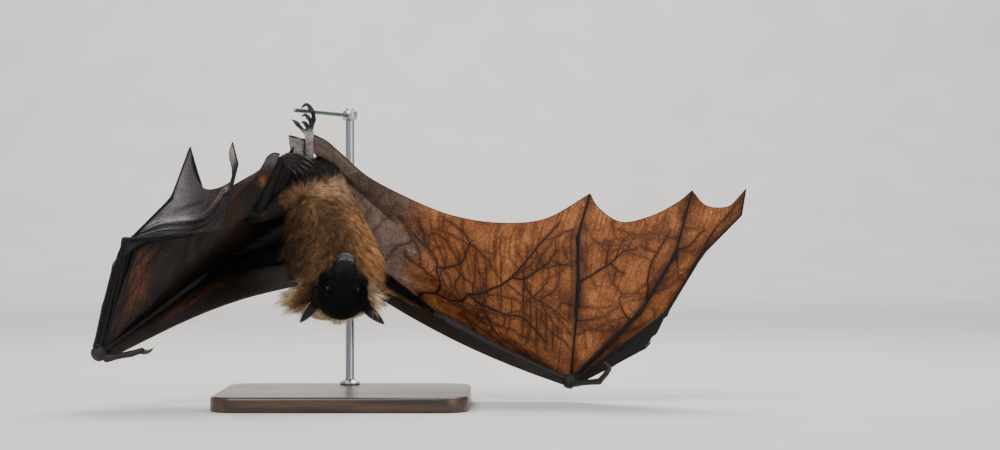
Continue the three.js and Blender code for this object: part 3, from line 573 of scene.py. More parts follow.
RIGHT = {
    "shoulder": mm(16, 14, 133),
    "elbow": mm(84, 84, 88),
    "wrist": mm(226, 48, 21),
    "thumb": mm((231, 43, 19), (255, 22, 22), (262, 12, 31)),
    "thumb_claw": mm((261, 13, 30), (265, 9, 37), (259, 8, 43)),
    "index": mm((233, 42, 19), (268, 26, 38), (301, 12, 57)),
    "index_claw": mm((299, 13, 56), (305, 10, 61), (306, 8, 65)),
    "middle": mm((234, 47, 23), (321, 8, 90), (355, -18, 150), (393, -34, 190), (397, -36, 215)),
    "ring": mm((231, 50, 25), (296, 14, 92), (330, -6, 151), (346, -14, 214)),
    "little": mm((226, 52, 26), (234, 22, 116), (233, 8, 168), (245, 2, 211)),
}
LEFT = {
    "shoulder": mm(-40, 14, 155),
    "elbow": mm(-145, 52, 132),
    "wrist": mm(-236, -60, 55),
    "thumb": mm((-228, -63, 50), (-203, -66, 55), (-193, -67, 58)),
    "thumb_claw": mm((-195, -67, 57), (-187, -67, 57), (-181, -67, 61)),
    "index": mm((-239, -66, 62), (-230, -70, 101), (-220, -71, 140)),
    "index_claw": mm((-221, -71, 138), (-218, -72, 145), (-215, -72, 148)),
    "middle": mm((-235, -62, 60), (-211, -64, 166), (-116, -68, 175), (-101, -56, 240), (-107, -50, 261)),
    "ring": mm((-231, -57, 62), (-209, -55, 163), (-168, -41, 206), (-151, -28, 257)),
    "little": mm((-228, -51, 62), (-204, -44, 155), (-167, -22, 181), (-131, -10, 207)),
}
LONG_BONES = [(2.6, 2.0, 2.6), (2.5, 1.5, 2.1), (2.0, 1.1, 0.95), (0.95, 0.85, 0.8)]
FINGERS = [  # each finger, the part it makes, and the radii of its bones: near end, shaft and far end
    ("thumb", "thumb", [(4, 3, 3.4), (3.1, 2.8, 2.9)]),
    ("index", "index_finger", [(2.3, 1.7, 2.0), (1.9, 1.4, 1.7)]),
    *[(finger, f"{finger}_finger", LONG_BONES) for finger in ("middle", "ring", "little")],
]
UPPER_ARM = [(0, 12, 13), (0.3, 11, 11), (0.7, 7.6, 8), (1, 5.4, 5.8)]  # inside its coat
FOREARM = [(0, 5), (0.08, 7.5), (0.3, 6.4), (0.6, 4.6), (0.9, 4), (1, 4.6)]
WRIST = [(0, 4), (0.2, 7.2), (0.6, 7.8), (0.85, 6.4), (1, 3.5)]


def bone_rings(start, end, near, shaft, far, sides=14):
    """Rings of a bone in its skin: a knuckle at each end, and a shaft between them."""
    length = np.linalg.norm(end - start) * 1000
    distance = np.linspace(-0.9 * near, length + 0.9 * far, int(length * 0.7) + 24)
    body = np.clip(distance, 0, length)
    radius = shaft + (near - shaft) * np.exp(-((body / (1.5 * near + 1)) ** 2))
    radius += (far - shaft) * np.exp(-(((length - body) / (1.5 * far + 1)) ** 2))
    past = np.maximum(-distance / near, (distance - length) / far).clip(0)
    radius = radius * np.sqrt(1 - past.clip(0, 0.98) ** 2) / 1000
    aim = unit(end - start)
    side = unit(np.cross(aim, (0.3, 1, 0.2)))
    middle = start + np.outer(distance / 1000, aim)
    return ovals(middle, side, np.cross(side, aim), radius, radius, radius, sides)


def forearm_line(arm):
    """The forearm's bones, with the slight bow in their middle."""
    elbow, hand = arm["elbow"], arm["wrist"]
    return [elbow, (elbow + hand) / 2 + mm(0, 0, -2), hand]


ARMS = {"right": RIGHT, "left": LEFT}
for name, arm in ARMS.items():
    shoulder, elbow, hand = arm["shoulder"], arm["elbow"], arm["wrist"]
    lay(f"upper_arm_{name}", along_limb([shoulder, (shoulder + elbow) / 2, elbow], UPPER_ARM, sides=28))
    lay(f"upper_arm_{name}", ball_rings(shoulder, 13))
    lay(f"forearm_{name}", along_limb(forearm_line(arm), FOREARM, sides=24, steps=90))
    aim = unit(hand - elbow)
    wrist_line = [hand - aim * 0.006, hand, hand + aim * 0.007]
    lay(f"wrist_{name}", along_limb(wrist_line, WRIST, sides=24, steps=20))
    for finger, part, bones in FINGERS:
        for start, end, sizes in zip(arm[finger], arm[finger][1:], bones):
            lay(f"{part}_{name}", bone_rings(start, end, *sizes))

# ---- Skin: legs and feet ---------------------------------------------------------------------
# Thin legs bend at the knee behind the body. Each ends in a narrow foot of five toes and a spur of
# gristle at the heel. The right foot is hooked over the wire; the left one rests on the rump.

LEGS = {
    "right": {
        "hip": mm(-20, 14, 214),
        "knee": mm(-40, 54, 222),
        "ankle": mm(-35, -10, 265),
        "spur": mm((-37, -10, 264), (-55, -13, 269)),
        "edge": mm(-53, -2, 252),
        "rump": mm(-44, 8, 238),
        "reach": 0.55,
        "toes": [
            mm((-33, -15, 274), (-30.5, -17, 284), (-30.5, -18, 292), (-37, -18, 300), (-43, -18, 296)),
            mm((-33, -11, 275), (-30, -10, 285), (-30.5, -10, 292.5), (-37, -10, 300), (-43, -10, 296)),
            mm((-34, -18, 272), (-32.5, -22, 280), (-33, -24.5, 285), (-38, -25, 289), (-42, -24.5, 286.5)),
            mm((-36, -12, 271), (-36.5, -14, 276), (-37, -15, 279.5), (-40, -16, 282), (-43, -16, 281.5)),
            mm((-37, -13, 270), (-41.5, -15, 275), (-45.5, -16, 279.5), (-49, -16, 283), (-52.5, -16, 285)),
        ],
    },
    "left": {
        "hip": mm(-42, 6, 214),
        "knee": mm(-86, -12, 190),
        "ankle": mm(-59, -32, 246),
        "spur": mm((-57, -29, 246), (-50, -18, 257)),
        "edge": mm(-52, -8, 244),
        "rump": mm(-50, 4, 222),
        "reach": 0.9,
        "toes": [
            mm((-53, -34, 249), (-45, -36, 249), (-37, -35, 246), (-31, -32, 242), (-28, -27, 237)),
            mm((-54, -35, 247), (-45, -37, 245), (-38, -36, 242), (-32, -33, 238), (-30, -28, 233)),
            mm((-55, -35, 244), (-46, -37, 241.5), (-40, -36, 238), (-35.5, -33, 234), (-34, -28, 230)),
            mm((-56, -35, 242), (-48, -36.5, 238), (-43.5, -36, 235), (-40, -33, 231), (-39, -29, 228)),
            mm((-57, -34, 240), (-52, -36, 236), (-49, -35, 233), (-46.5, -32.5, 230), (-46, -29, 227)),
        ],
    },
}
THIGH = [(0, 13), (0.5, 11), (1, 7.6)]  # inside its coat
SHIN = [(0, 6.5), (0.25, 5.8), (0.7, 4.3), (1, 4)]
INSTEP = [(0, 3.4), (0.5, 4.6), (1, 4.4)]

for name, leg in LEGS.items():
    hip, knee, ankle = leg["hip"], leg["knee"], leg["ankle"]
    middle = hip + 0.55 * (knee - hip)
    lay(f"thigh_{name}", along_limb([hip, middle, knee], THIGH, rise=(0, 0, 1.0), sides=28))
    lay(f"thigh_{name}", ball_rings(knee, 7.2))
    lay(f"shin_{name}", along_limb([knee, (knee + ankle) / 2, ankle], SHIN, rise=(0.2, 1, 0), sides=20))
    knuckles = np.mean([toe[0] for toe in leg["toes"]], axis=0)
    heel = ankle - 0.25 * (knuckles - ankle)
    sole = [heel, (ankle + knuckles) / 2, knuckles]
    lay(f"foot_{name}", along_limb(sole, INSTEP, rise=(0.1, 1, 0.1), sides=20, steps=20))
    for toe in leg["toes"]:
        lay(f"foot_{name}", bone_rings(toe[0] + 0.3 * (toe[0] - toe[1]), toe[1], 2.2, 1.75, 2.0))
        lay(f"foot_{name}", bone_rings(toe[1], toe[2], 1.9, 1.55, 1.75))
    lay(f"spur_{name}", bone_rings(*leg["spur"], 1.6, 1.1, 0.8))

# ---- Skin: fused and finished ----------------------------------------------------------------
# All parts are fused into one closed skin with no seam, then relaxed. Its folds, sockets, nostrils
# and tendons are pressed into it. It is bare slate leather where no coat grows.

SKIN_GRAIN = 0.00062  # spacing of the fused skin's points
SKIN_KEPT = 0.42  # the share of its triangles that the finished skin keeps
EVENING_ROUNDS = 10
EVENING_STEPS = (0.5, -0.53)  # a step in, then a slightly larger one out, so that nothing shrinks
SOCKET_REACH = 0.008
SOCKET_FLOOR = 0.0044  # the socket's radius under the eye, and beyond its lids
SOCKET_RIM = 0.00585
OPEN_LID = (0.86, 0.62)  # how wide and how high the lids open, as angles
BRIDGE = [on_axes(24, 0, 14), on_axes(40, 0, 10), on_axes(50, 0, 6)]
PHILTRUM = [on_axes(54, 0, 3.5), on_axes(54, 0, 0), on_axes(52, 0, -4)]
TENDONS = [(0.0, 0.0006), (0.9, -0.0005), (-0.9, -0.0005), (2.2, -0.0004)]  # angle, and height of ridge
TOE_CREASE = mm((0, -2, 0), (0, -1, 0), (0, 2, 0))


def joined(bodies):
    """Several bodies as the points and faces of one mesh."""
    shift = 0
    points = []
    groups = {}
    for body, faces in bodies:
        for group in faces:
            groups.setdefault(group.shape[1], []).append(group + shift)
        points.append(body)
        shift += len(body)
    return np.vstack(points), [np.vstack(group) for group in groups.values()]


def with_modifier(piece, kind, **settings):
    """The piece's mesh as a modifier leaves it."""
    modifier = piece.modifiers.new(kind.lower(), kind)
    for setting, value in settings.items():
        setattr(modifier, setting, value)
    worked = bpy.data.meshes.new_from_object(piece.evaluated_get(bpy.context.evaluated_depsgraph_get()))
    piece.modifiers.clear()
    old = piece.data
    piece.data = worked
    bpy.data.meshes.remove(old)
    return worked


def read(items, field, width=3):
    values = np.empty(len(items) * width, np.float32 if field != "vertices" else np.int32)
    items.foreach_get(field, values)
    return values.reshape(-1, width)


def relax(points, edges, rounds):
    """Evens a surface out without shrinking it."""
    count = np.bincount(edges.ravel(), minlength=len(points))[:, None]
    for _ in range(rounds):
        for step in EVENING_STEPS:
            total = np.empty_like(points)
            for k in range(3):
                ahead = np.bincount(edges[:, 0], points[edges[:, 1], k], len(points))
                behind = np.bincount(edges[:, 1], points[edges[:, 0], k], len(points))
                total[:, k] = ahead + behind
            points += step * (total / count - points)


def hump(value, middle, width):
    """One at the middle, falling away softly over the width on both sides."""
    return np.exp(-(((value - middle) / width) ** 2))


def ramp(low, high, value):
    """Nought at low and one at high, eased between them."""
    share = np.clip((value - low) / (high - low), 0, 1)
    return share * share * (3 - 2 * share)


def press(line, width, height):
    """Raises the skin along a line, or sinks it where height is negative, with soft flanks."""
    low, high = line.min(0) - 3 * width, line.max(0) + 3 * width
    near = np.flatnonzero(((points > low) & (points < high)).all(axis=1))
    gap = np.full(len(near), 1e3)
    for spot_on_line in line:
        gap = np.minimum(gap, np.linalg.norm(points[near] - spot_on_line, axis=1))
    points[near] += normals[near] * (height * hump(gap, 0, width))[:, None]


def put_back(mesh, points):
    """Gives a mesh its points again after they were moved."""
    mesh.vertices.foreach_set("co", points.astype(np.float32).ravel())
    mesh.update()


def tree_of(places):
    """A search tree for the nearest of some places."""
    made = KDTree(len(places))
    for index, place_now in enumerate(places):
        made.insert(place_now, index)
    made.balance()
    return made


def socket_axes(side):
    """An eye's middle, and the ways out of the socket, level with the face and up."""
    middle = eye_place(side)
    outward = unit(middle - on_axes(EYE_ALONG - 3, 0, 2))
    level = unit(FORWARD - outward * (FORWARD @ outward))
    return middle, outward, level, np.cross(outward, level)


skin = new_piece("bat_skin", *joined([(points, faces) for _, points, faces, _, _ in body_parts]))
mesh = with_modifier(skin, "REMESH", mode="VOXEL", voxel_size=SKIN_GRAIN, use_smooth_shade=True)
points = read(mesh.vertices, "co").astype(float)
edges = read(mesh.edges, "vertices", 2)
relax(points, edges, EVENING_ROUNDS)
put_back(mesh, points)
normals = read(mesh.vertex_normals, "vector").astype(float)

press(smooth_line(mouth_route(), 220), 0.0007, -0.0011)
press(smooth_line(PHILTRUM, 60), 0.0008, -0.0008)
press(smooth_line(BRIDGE, 120), 0.0012, -0.0005)
for side in (-1, 1):
    opening = nostril_place(side)
    aside = RIGHTWARD * side
    turns = np.linspace(0, 2 * np.pi, 40)[:, None]
    round_it = np.cos(turns) * RIGHTWARD + np.sin(turns) * unit(UPWARD + 0.5 * FORWARD)
    press(opening + 0.0029 * round_it, 0.0009, 0.0008)
    press(smooth_line([opening, opening - FORWARD * 0.0004 + aside * 0.0006], 8), 0.0017, -0.0036)
    slit = [opening, opening + aside * 0.002 - UPWARD * 0.0008, opening + aside * 0.0038]
    press(smooth_line(slit, 24), 0.0007, -0.0011)
    for angle in (-14, 2, 18):
        fold = [on_head(along, angle - 0.4 * (along - 40), side) for along in (36, 40, 44, 47)]
        press(smooth_line(fold, 60), 0.0006, -0.0004)
    middle, outward, level, lift = socket_axes(side)
    ray = points - middle
    distance = np.linalg.norm(ray, axis=1)
    near = np.flatnonzero((distance < SOCKET_REACH) & (ray @ outward > 0))
    ray, distance = ray[near], distance[near]
    facing = ray @ outward
    slant = np.hypot(
        np.arctan2(ray @ level, facing) / OPEN_LID[0],
        np.arctan2(ray @ lift, facing) / OPEN_LID[1],
    )
    target = SOCKET_FLOOR + (np.maximum(distance, SOCKET_RIM) - SOCKET_FLOOR) * ramp(0.66, 0.9, slant)
    target += 0.00035 * hump(slant, 0.98, 0.1) - 0.0003 * hump(slant, 1.35, 0.12)
    points[near] = middle + ray / distance[:, None] * target[:, None]
for arm in ARMS.values():
    centre = smooth_line(forearm_line(arm), 200)[20:190]
    for turn, size in TENDONS:
        aside = np.array([0.15 * np.sin(turn), -np.cos(turn), np.sin(turn)])
        press(centre + 0.0052 * unit(aside), 0.0016, size)
for leg in LEGS.values():
    for toe in leg["toes"]:
        for share in (0.35, 0.55, 0.75, 0.95):
            press(toe[0] + share * (toe[1] - toe[0]) + TOE_CREASE, 0.0007, -0.0003)
put_back(mesh, points)
mesh = with_modifier(skin, "DECIMATE", ratio=SKIN_KEPT)
mesh.polygons.foreach_set("use_smooth", np.ones(len(mesh.polygons), bool))
points = read(mesh.vertices, "co").astype(float)
normals = read(mesh.vertex_normals, "vector").astype(float)

part_names = [name for name, *_ in body_parts]
owners = np.concatenate([np.full(len(body[1]), k) for k, body in enumerate(body_parts)])
laid_out = tree_of(np.vstack([body[1] for body in body_parts]))
nearest = np.array([laid_out.find(place_now)[1] for place_now in points])
along_part = np.concatenate([body[3] for body in body_parts])[nearest]
around_part = np.concatenate([body[4] for body in body_parts])[nearest]

BELLY = paint("#846345")
BELLY_BAND = paint("#5d4835")
BELLY_EDGE = paint("#c49e7e")
BELLY_PAINTED_SHADOW = paint("#3b2d20")
FLANK_GOLD = paint("#c79465")
CHEST = paint("#8c7354")
BACK = paint("#35221a")
MANTLE = paint("#946233")
CREAM = paint("#f3dfbb")
RIM_ORANGE = paint("#a96c38")
HEAD_BLACK = paint("#050908")
HEAD_BROWN = paint("#241710")
MUZZLE = paint("#0a110f")
NOSE_GREY = paint("#8b8583")
ARM_BLACK = paint("#100f0e")
ARM_TAN = paint("#b08450")
RUMP_BLACK = paint("#312c29")
SLATE = paint("#312e2d")
FINGER_BLACK = paint("#1b1919")
# the bare shins' own pale grey, lightened further with painted light from above
SHIN_GREY_PAINTED_LIGHT = paint("#bdb8b5")
EAR_DARK = paint("#2c2324")
FACE_MIDDLE = (-2, 113)  # x and z of the face's middle and of the collar's, in millimetres
COLLAR_MIDDLE = (-6, 124)


def veer(places, fineness, shift=0.0):
    """Gentle unevenness from -1 to 1."""
    at = np.asarray(places) * fineness + shift
    return np.array([noise.noise(place_now) for place_now in at.tolist()])


def layered(colours, *layers):
    """A colour, or one for each place, with others laid over it, each by its share at each place."""
    for other, share in layers:
        colours = colours + (other - colours) * share[:, None]
    return colours


def is_part(owner, *starts):
    return np.array([any(name.startswith(start) for start in starts) for name in part_names])[owner]


def head_axes(places):
    """Places as millimetres forward, rightward and upward from the skull's middle."""
    return [(places - SKULL) @ way * 1000 for way in (FORWARD, RIGHTWARD, UPWARD)]


def arm_level(x):
    """How high the right upper arm's middle lies at each x, in millimetres."""
    return np.interp(x, [16, 84], [133, 88])


def belly_middle(z):
    """How far aside the trunk's middle lies at each height, in millimetres."""
    return np.interp(z, [106, 130, 172, 220, 246], [-7, -10, -17, -27, -27])


def markings(places, owner, along):
    """The animal's colours at places on it: the same for its skin and for its coat."""
    x, y, z = (places * 1000).T
    rough = veer(places, 60.0)
    half = np.interp(z, [106, 130, 172, 220, 246], [30, 42, 38, 28, 10])
    across = (x - belly_middle(z)) / half + 0.08 * rough
    band = hump(across, 0.12, 0.36) * ramp(140, 165, z) * (1 - ramp(200, 218, z))
    back = layered(BACK, (MANTLE, 1 - ramp(128, 160, z + 6 * rough)))
    colours = layered(
        BELLY,
        (BELLY_BAND, 0.7 * band),
        (BELLY_EDGE, 0.75 * ramp(196, 214, z + 6 * rough)),
        # painted shadow: the belly is darkened towards its left side
        (BELLY_PAINTED_SHADOW, 0.85 * ramp(-0.1, -0.8, across) * (1 - ramp(188, 208, z))),
        (FLANK_GOLD, 0.9 * ramp(0.45, 0.8, across) * (1 - ramp(186, 206, z))),
        (CHEST, 0.8 * (1 - ramp(118, 150, z))),
        (back, ramp(8, 22, y + 4 * rough)),
        (RUMP_BLACK, ramp(222, 232, z - 0.3 * x)),
    )

    off_face = np.hypot(x - FACE_MIDDLE[0], z - FACE_MIDDLE[1])
    leftward = ramp(0.3, 0.95, -(x - FACE_MIDDLE[0]) / off_face)
    off_border = off_face + 2.5 * rough - (9 + 27 * leftward * ramp(98, 107, z))
    low_down = 1 - ramp(112, 130, z - 0.12 * np.abs(x - COLLAR_MIDDLE[0]))
    # painted shadow: dark brown in the collar on the left, between the face and its pale border
    shaded = ramp(4, -8, off_border) * leftward * (1 - ramp(122, 142, z))
    ruffed = layered(
        colours,
        (HEAD_BROWN, 0.75 * shaded),
        (CREAM, 0.97 * low_down * ramp(0, 5, off_border) * (1 - 0.7 * ramp(18, 32, y))),
        (RIM_ORANGE, 0.55 * (hump(off_border, -1, 2.0) * low_down * leftward)),
    )

    forward, rightward, upward = head_axes(places)
    cheek = np.exp(-(((forward - 16) / 9) ** 2) - ((upward + 6) / 5) ** 2)
    chin_rim = ramp(47.0, 50.5, forward) * ramp(-5.9, -7.2, upward)
    jaw_rim = 0.12 * ramp(40.0, 46.0, forward) * ramp(-3.6, -6.0, upward)
    pad = ramp(49.0, 52.0, forward + 0.2 * np.abs(rightward)) * ramp(4.6, 2.0, upward)
    face = layered(
        HEAD_BLACK,
        (HEAD_BROWN, 0.9 * (1 - ramp(-16, -3, forward))),
        (HEAD_BROWN, 0.8 * ramp(-17, -25, rightward) * (1 - ramp(8, 22, forward))),
        (MUZZLE, ramp(26, 36, forward)),
        (NOSE_GREY, 0.3 * cheek * ramp(0.0, 0.5, rough + 0.2)),
        (NOSE_GREY, np.clip(0.85 * chin_rim + jaw_rim + 0.13 * pad * (1 + rough), 0, 0.8)),
    )
    for side in (-1, 1):
        pit = nostril_place(side)
        gap = np.linalg.norm(places - pit, axis=1) * 1000
        above = ramp(0.6, 2.4, (pit - places) @ UPWARD * 1000)
        rimmed = (NOSE_GREY, 0.6 * above * hump(gap, 2.9, 0.7))
        # painted shade: the nostril pits are painted black
        face = layered(face, rimmed, (np.zeros(3), 0.97 * np.exp(-((gap / 2.3) ** 4))))

    lower_edge = ramp(2.0, -4.0, z - arm_level(x) - 2)
    fringe = lower_edge * (x > 0) * (1 - ramp(0.65, 1.0, along))
    fringe += (x < 0) * (1 - ramp(0.12, 0.34, along + 0.06 * rough)) * (1 - ramp(0, 12, y))
    groin = ramp(-5, 4, x + 51 + 12 * hump(z, 212, 12) + 3 * rough)
    groin *= (x < -31) * (1 - ramp(6, 16, y))
    groin *= 1 - ramp(216, 224, z)
    # the right foot runs from the shin's pale grey, with its painted light, to black toes
    toes = layered(SHIN_GREY_PAINTED_LIGHT, (SLATE, ramp(268, 277, z + 2 * rough)), (FINGER_BLACK, ramp(279, 286, z)))
    for where, colour in (
        (is_part(owner, "neck", "trunk") & (z < 150), ruffed),
        (is_part(owner, "head", "lips", "nose", "brow", "cheek", "ear_root"), face),
        (is_part(owner, "ear_leaf"), EAR_DARK),
        (is_part(owner, "upper_arm"), layered(ARM_BLACK, (ARM_TAN, fringe.clip(0, 0.85)))),
        (is_part(owner, "thigh"), layered(RUMP_BLACK, (BELLY, 0.9 * groin))),
        (is_part(owner, "forearm", "wrist", "thumb"), SLATE),
        (is_part(owner, "index_", "middle_", "ring_", "little_"), FINGER_BLACK),
        # the right shin's lower part takes the pale grey with its painted light
        (is_part(owner, "shin_right"), layered(RUMP_BLACK, (SHIN_GREY_PAINTED_LIGHT, ramp(0.25, 0.6, along)))),
        (is_part(owner, "foot_right"), toes),
        # painted shadow: the left shin is painted near-black over its own dark skin
        (is_part(owner, "shin_left"), ARM_BLACK),
        (is_part(owner, "foot_left", "spur"), FINGER_BLACK),
    ):
        colours = np.where(where[:, None], colour, colours)
    return colours


def furred(places, owner, along):
    """How thickly the coat grows, from 0 on bare skin to 1."""
    thick = is_part(owner, "trunk", "neck").astype(float)
    for parts, share in (
        (("head", "brow", "cheek", "ear_root"), 1 - ramp(34, 46, head_axes(places)[0])),
        (("upper_arm",), 1 - 0.9 * ramp(0.6, 1.0, along)),
        (("forearm",), 0.35 * (1 - ramp(0.0, 0.2, along))),
        (("thigh",), 1 - 0.5 * ramp(0.7, 1.0, along)),
        (("shin",), 0.4 * (1 - ramp(0.05, 0.35, along))),
    ):
        thick = np.where(is_part(owner, *parts), share, thick)
    return thick


def keep(piece, name, values):
    """Stores a value or a colour for each point of a piece."""
    values = np.asarray(values, np.float32)
    kind, field = "FLOAT", "value"
    if values.ndim == 2:
        values = np.column_stack([values, np.ones(len(values), np.float32)])
        kind, field = "FLOAT_COLOR", "color"
    store = piece.data.attributes.new(name, kind, "POINT")
    store.data.foreach_set(field, values.ravel())


owner = owners[nearest]
keep(skin, "shade", markings(points, owner, along_part))
keep(skin, "fur", furred(points, owner, along_part))
ear_rim = is_part(owner, "ear_leaf") & (np.abs(np.sin(2 * np.pi * around_part)) < 0.3)
keep(skin, "rim", ear_rim.astype(float))

# Fine crossing wrinkles and pebbles of bare skin, as a normal.
wrinkles, given, result = new_group(
    "wrinkles",
    {"Place": None, "Fineness": 900.0, "Depth": 0.5},
    {"Normal": "NodeSocketVector", "Height": "NodeSocketFloat"},
)
soft_cells = spread(wrinkles, cell_edges(wrinkles, given["Place"], given["Fineness"]), 0.0, 0.25, 0.0, 1.0)
pebbles = times(wrinkles, soft_cells, cloudy(wrinkles, given["Place"], given["Fineness"], 6.0))
wrinkles.links.new(relief(wrinkles, given["Depth"], 0.0004, pebbles), result["Normal"])
wrinkles.links.new(pebbles, result["Height"])


def wrinkled(tree, where, fineness, depth):
    """The normal and height of the wrinkles group, at a fineness of so many to the metre."""
    inputs = {"Place": where, "Fineness": fineness, "Depth": depth}
    return place(tree, "ShaderNodeGroup", inputs, node_tree=wrinkles).outputs


leather, nodes = new_finish("bat skin", 0.5, Specular_IOR_Level=0.22)
shade = carried(nodes, "shade", "Color")
hairy = carried(nodes, "fur")
uneven = tone(nodes, spot_on(nodes), 160.0)
fine = wrinkled(nodes, spot_on(nodes), 1100.0, 0.55)
base = tinted(nodes, shade, mixed(nodes, uneven, (0.72, 0.7, 0.7, 1), (1.18, 1.14, 1.12, 1)))
# painted shade in the creases between the wrinkles' pebbles
base = mixed(nodes, spread(nodes, fine["Height"], 0.0, 0.5, 0.35, 0.0), base, opaque("#0c0b0b"))
base = mixed(nodes, spread(nodes, carried(nodes, "rim"), 0.0, 1.0, 0.0, 0.85), base, opaque("#a59c97"))
# painted shade: the skin is darkened where the coat grows over it
base = mixed(nodes, hairy, base, tinted(nodes, shade, (0.55, 0.5, 0.45, 1)))
dull = {0: spread(nodes, uneven, 0.0, 1.0, 0.4, 0.58), 1: hairy}
dull = place(nodes, "ShaderNodeMath", dull, operation="MAXIMUM").outputs[0]
feed(nodes, Base_Color=base, Roughness=dull, Normal=fine["Normal"])

skin.data.materials.append(leather)
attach(skin, "root")
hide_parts("trunk", "neck_ruff", "head", "ear_right", "ear_left")
for name in ARMS:
    limbs = ("upper_arm", "forearm", "wrist", "thumb", "index_finger", "middle_finger", "ring_finger")
    more = ("little_finger", "thigh", "shin", "foot", "spur")
    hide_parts(*[f"{limb}_{name}" for limb in limbs + more])

# ---- Eyes ------------------------------------------------------------------------------------
# Large dark eyes, set deep behind their lids at the sides of the head. Each is a wet ball with a
# bulging clear front over a deep brown iris and a wide black pupil.

EYE_FIT = 0.99  # the ball's size as a share of its socket's
EYE_BULGE = 0.07  # how far its front stands out, as a share of its radius

glass, nodes = new_finish("wet dark eye", 0.16, Coat_Weight=0.2, Coat_Roughness=0.1)
ahead = carried(nodes, "gaze")
streaks = tone(nodes, spot_on(nodes), 2200.0)
iris = mixed(nodes, streaks, opaque("#120905"), opaque("#26140b"))
white = mixed(nodes, spread(nodes, ahead, 0.62, 0.7, 0.0, 1.0), opaque("#0c0807"), iris)
pupil = mixed(nodes, spread(nodes, ahead, 0.9, 0.93, 0.0, 1.0), white, opaque("#020202"))
wet = spread(nodes, streaks, 0.0, 1.0, 0.12, 0.22)
feed(nodes, Base_Color=pupil, Roughness=wet, Normal=relief(nodes, 0.03, 0.0002, streaks))

for name, side in (("right", 1), ("left", -1)):
    middle, outward, level, lift = socket_axes(side)
    tilt = np.linspace(0.02, np.pi - 0.02, 40)
    radius = EYE_RADIUS / 1000 * EYE_FIT * (1 + EYE_BULGE * hump(tilt, 0, 0.55))
    at = middle + outward * (radius * np.cos(tilt))[:, None]
    size = radius * np.sin(tilt)
    eye = new_piece(f"eye_ball_{name}", *tube(ovals(at, level, lift, size, size, size, 48)))
    keep(eye, "gaze", unit(read(eye.data.vertices, "co") - middle) @ outward)
    eye.data.materials.append(glass)
    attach(eye, "root")
    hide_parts(f"eye_{name}")

# ---- Claws -----------------------------------------------------------------------------------
# Narrow hooked claws of dark horn on thumbs, second fingers and toes, deep from side to side and
# drawn to a fine point, with faint lengthwise streaks and a paler, worn tip.

THUMB_CLAW_DEPTH = 2.6
FINGER_CLAW_DEPTH = 1.5
TOE_CLAW_DEPTH = 2.3

horn, nodes = new_finish("dark horn", 0.3, Coat_Weight=0.3, Coat_Roughness=0.15)
reached = carried(nodes, "tip")
coiled = place(nodes, "ShaderNodeCombineXYZ", {"X": carried(nodes, "round"), "Y": reached}).outputs[0]
streak = cloudy(nodes, scaled(nodes, coiled, (26.0, 2.0, 1.0)), 1.0, 4.0)
black = mixed(nodes, streak, opaque("#0f0d0c"), opaque("#2f2823"))
worn = mixed(nodes, spread(nodes, reached, 0.75, 1.0, 0.0, 0.7), black, opaque("#6b5c4d"))
worn_polish = spread(nodes, streak, 0.3, 0.7, 0.22, 0.42)
feed(nodes, Base_Color=worn, Roughness=worn_polish, Normal=relief(nodes, 0.35, 0.0002, streak))


def claw_rings(points, depth):
    """Rings of a hooked claw through three places, deepest a quarter of the way along."""
    chord = points[2] - points[0]
    across = unit(np.cross(points[1] - points[0], chord))
    middle = (0.6, depth * 0.4, depth * 0.68)
    rows = [(0, depth * 0.62, depth * 0.95), (0.25, depth * 0.62, depth), middle, (1, 0.12, 0.15)]
    return along_limb(points, rows, rise=np.cross(across, chord), sides=16, steps=26)


def add_claw(name, sets, *solids):
    """A piece of one or more claws, in place of the CAD solids named."""
    made = new_piece(name, *joined([tube(rings) for rings in sets]))
    count, sides = np.shape(sets[0])[:2]
    reached_now = np.append(np.repeat(np.linspace(0, 1, count), sides), (0, 1))
    round_now = np.append(np.tile(np.abs(np.linspace(-1, 1, sides, endpoint=False)), count), (0, 0))
    keep(made, "tip", np.tile(reached_now, len(sets)))
    keep(made, "round", np.tile(round_now, len(sets)))
    made.data.materials.append(horn)
    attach(made, "root")
    if solids:
        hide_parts(*solids)


for name, arm in ARMS.items():
    add_claw(f"claw_thumb_{name}", [claw_rings(arm["thumb_claw"], THUMB_CLAW_DEPTH)], f"thumb_claw_{name}")
    add_claw(f"claw_finger_{name}", [claw_rings(arm["index_claw"], FINGER_CLAW_DEPTH)], f"index_claw_{name}")
    hooks = []
    for toe in LEGS[name]["toes"]:
        hooks.append(claw_rings([toe[2] + 0.2 * (toe[1] - toe[2]), toe[3], toe[4]], TOE_CLAW_DEPTH))
    add_claw(f"claws_toes_{name}", hooks)

# ---- Wing skin -------------------------------------------------------------------------------
# Thin bare skin stretched between the arm, the fingers, the flank and the leg. It is rust brown,
# veined and specked, greyer near the body, and ends in a fine rolled cord along every free edge.

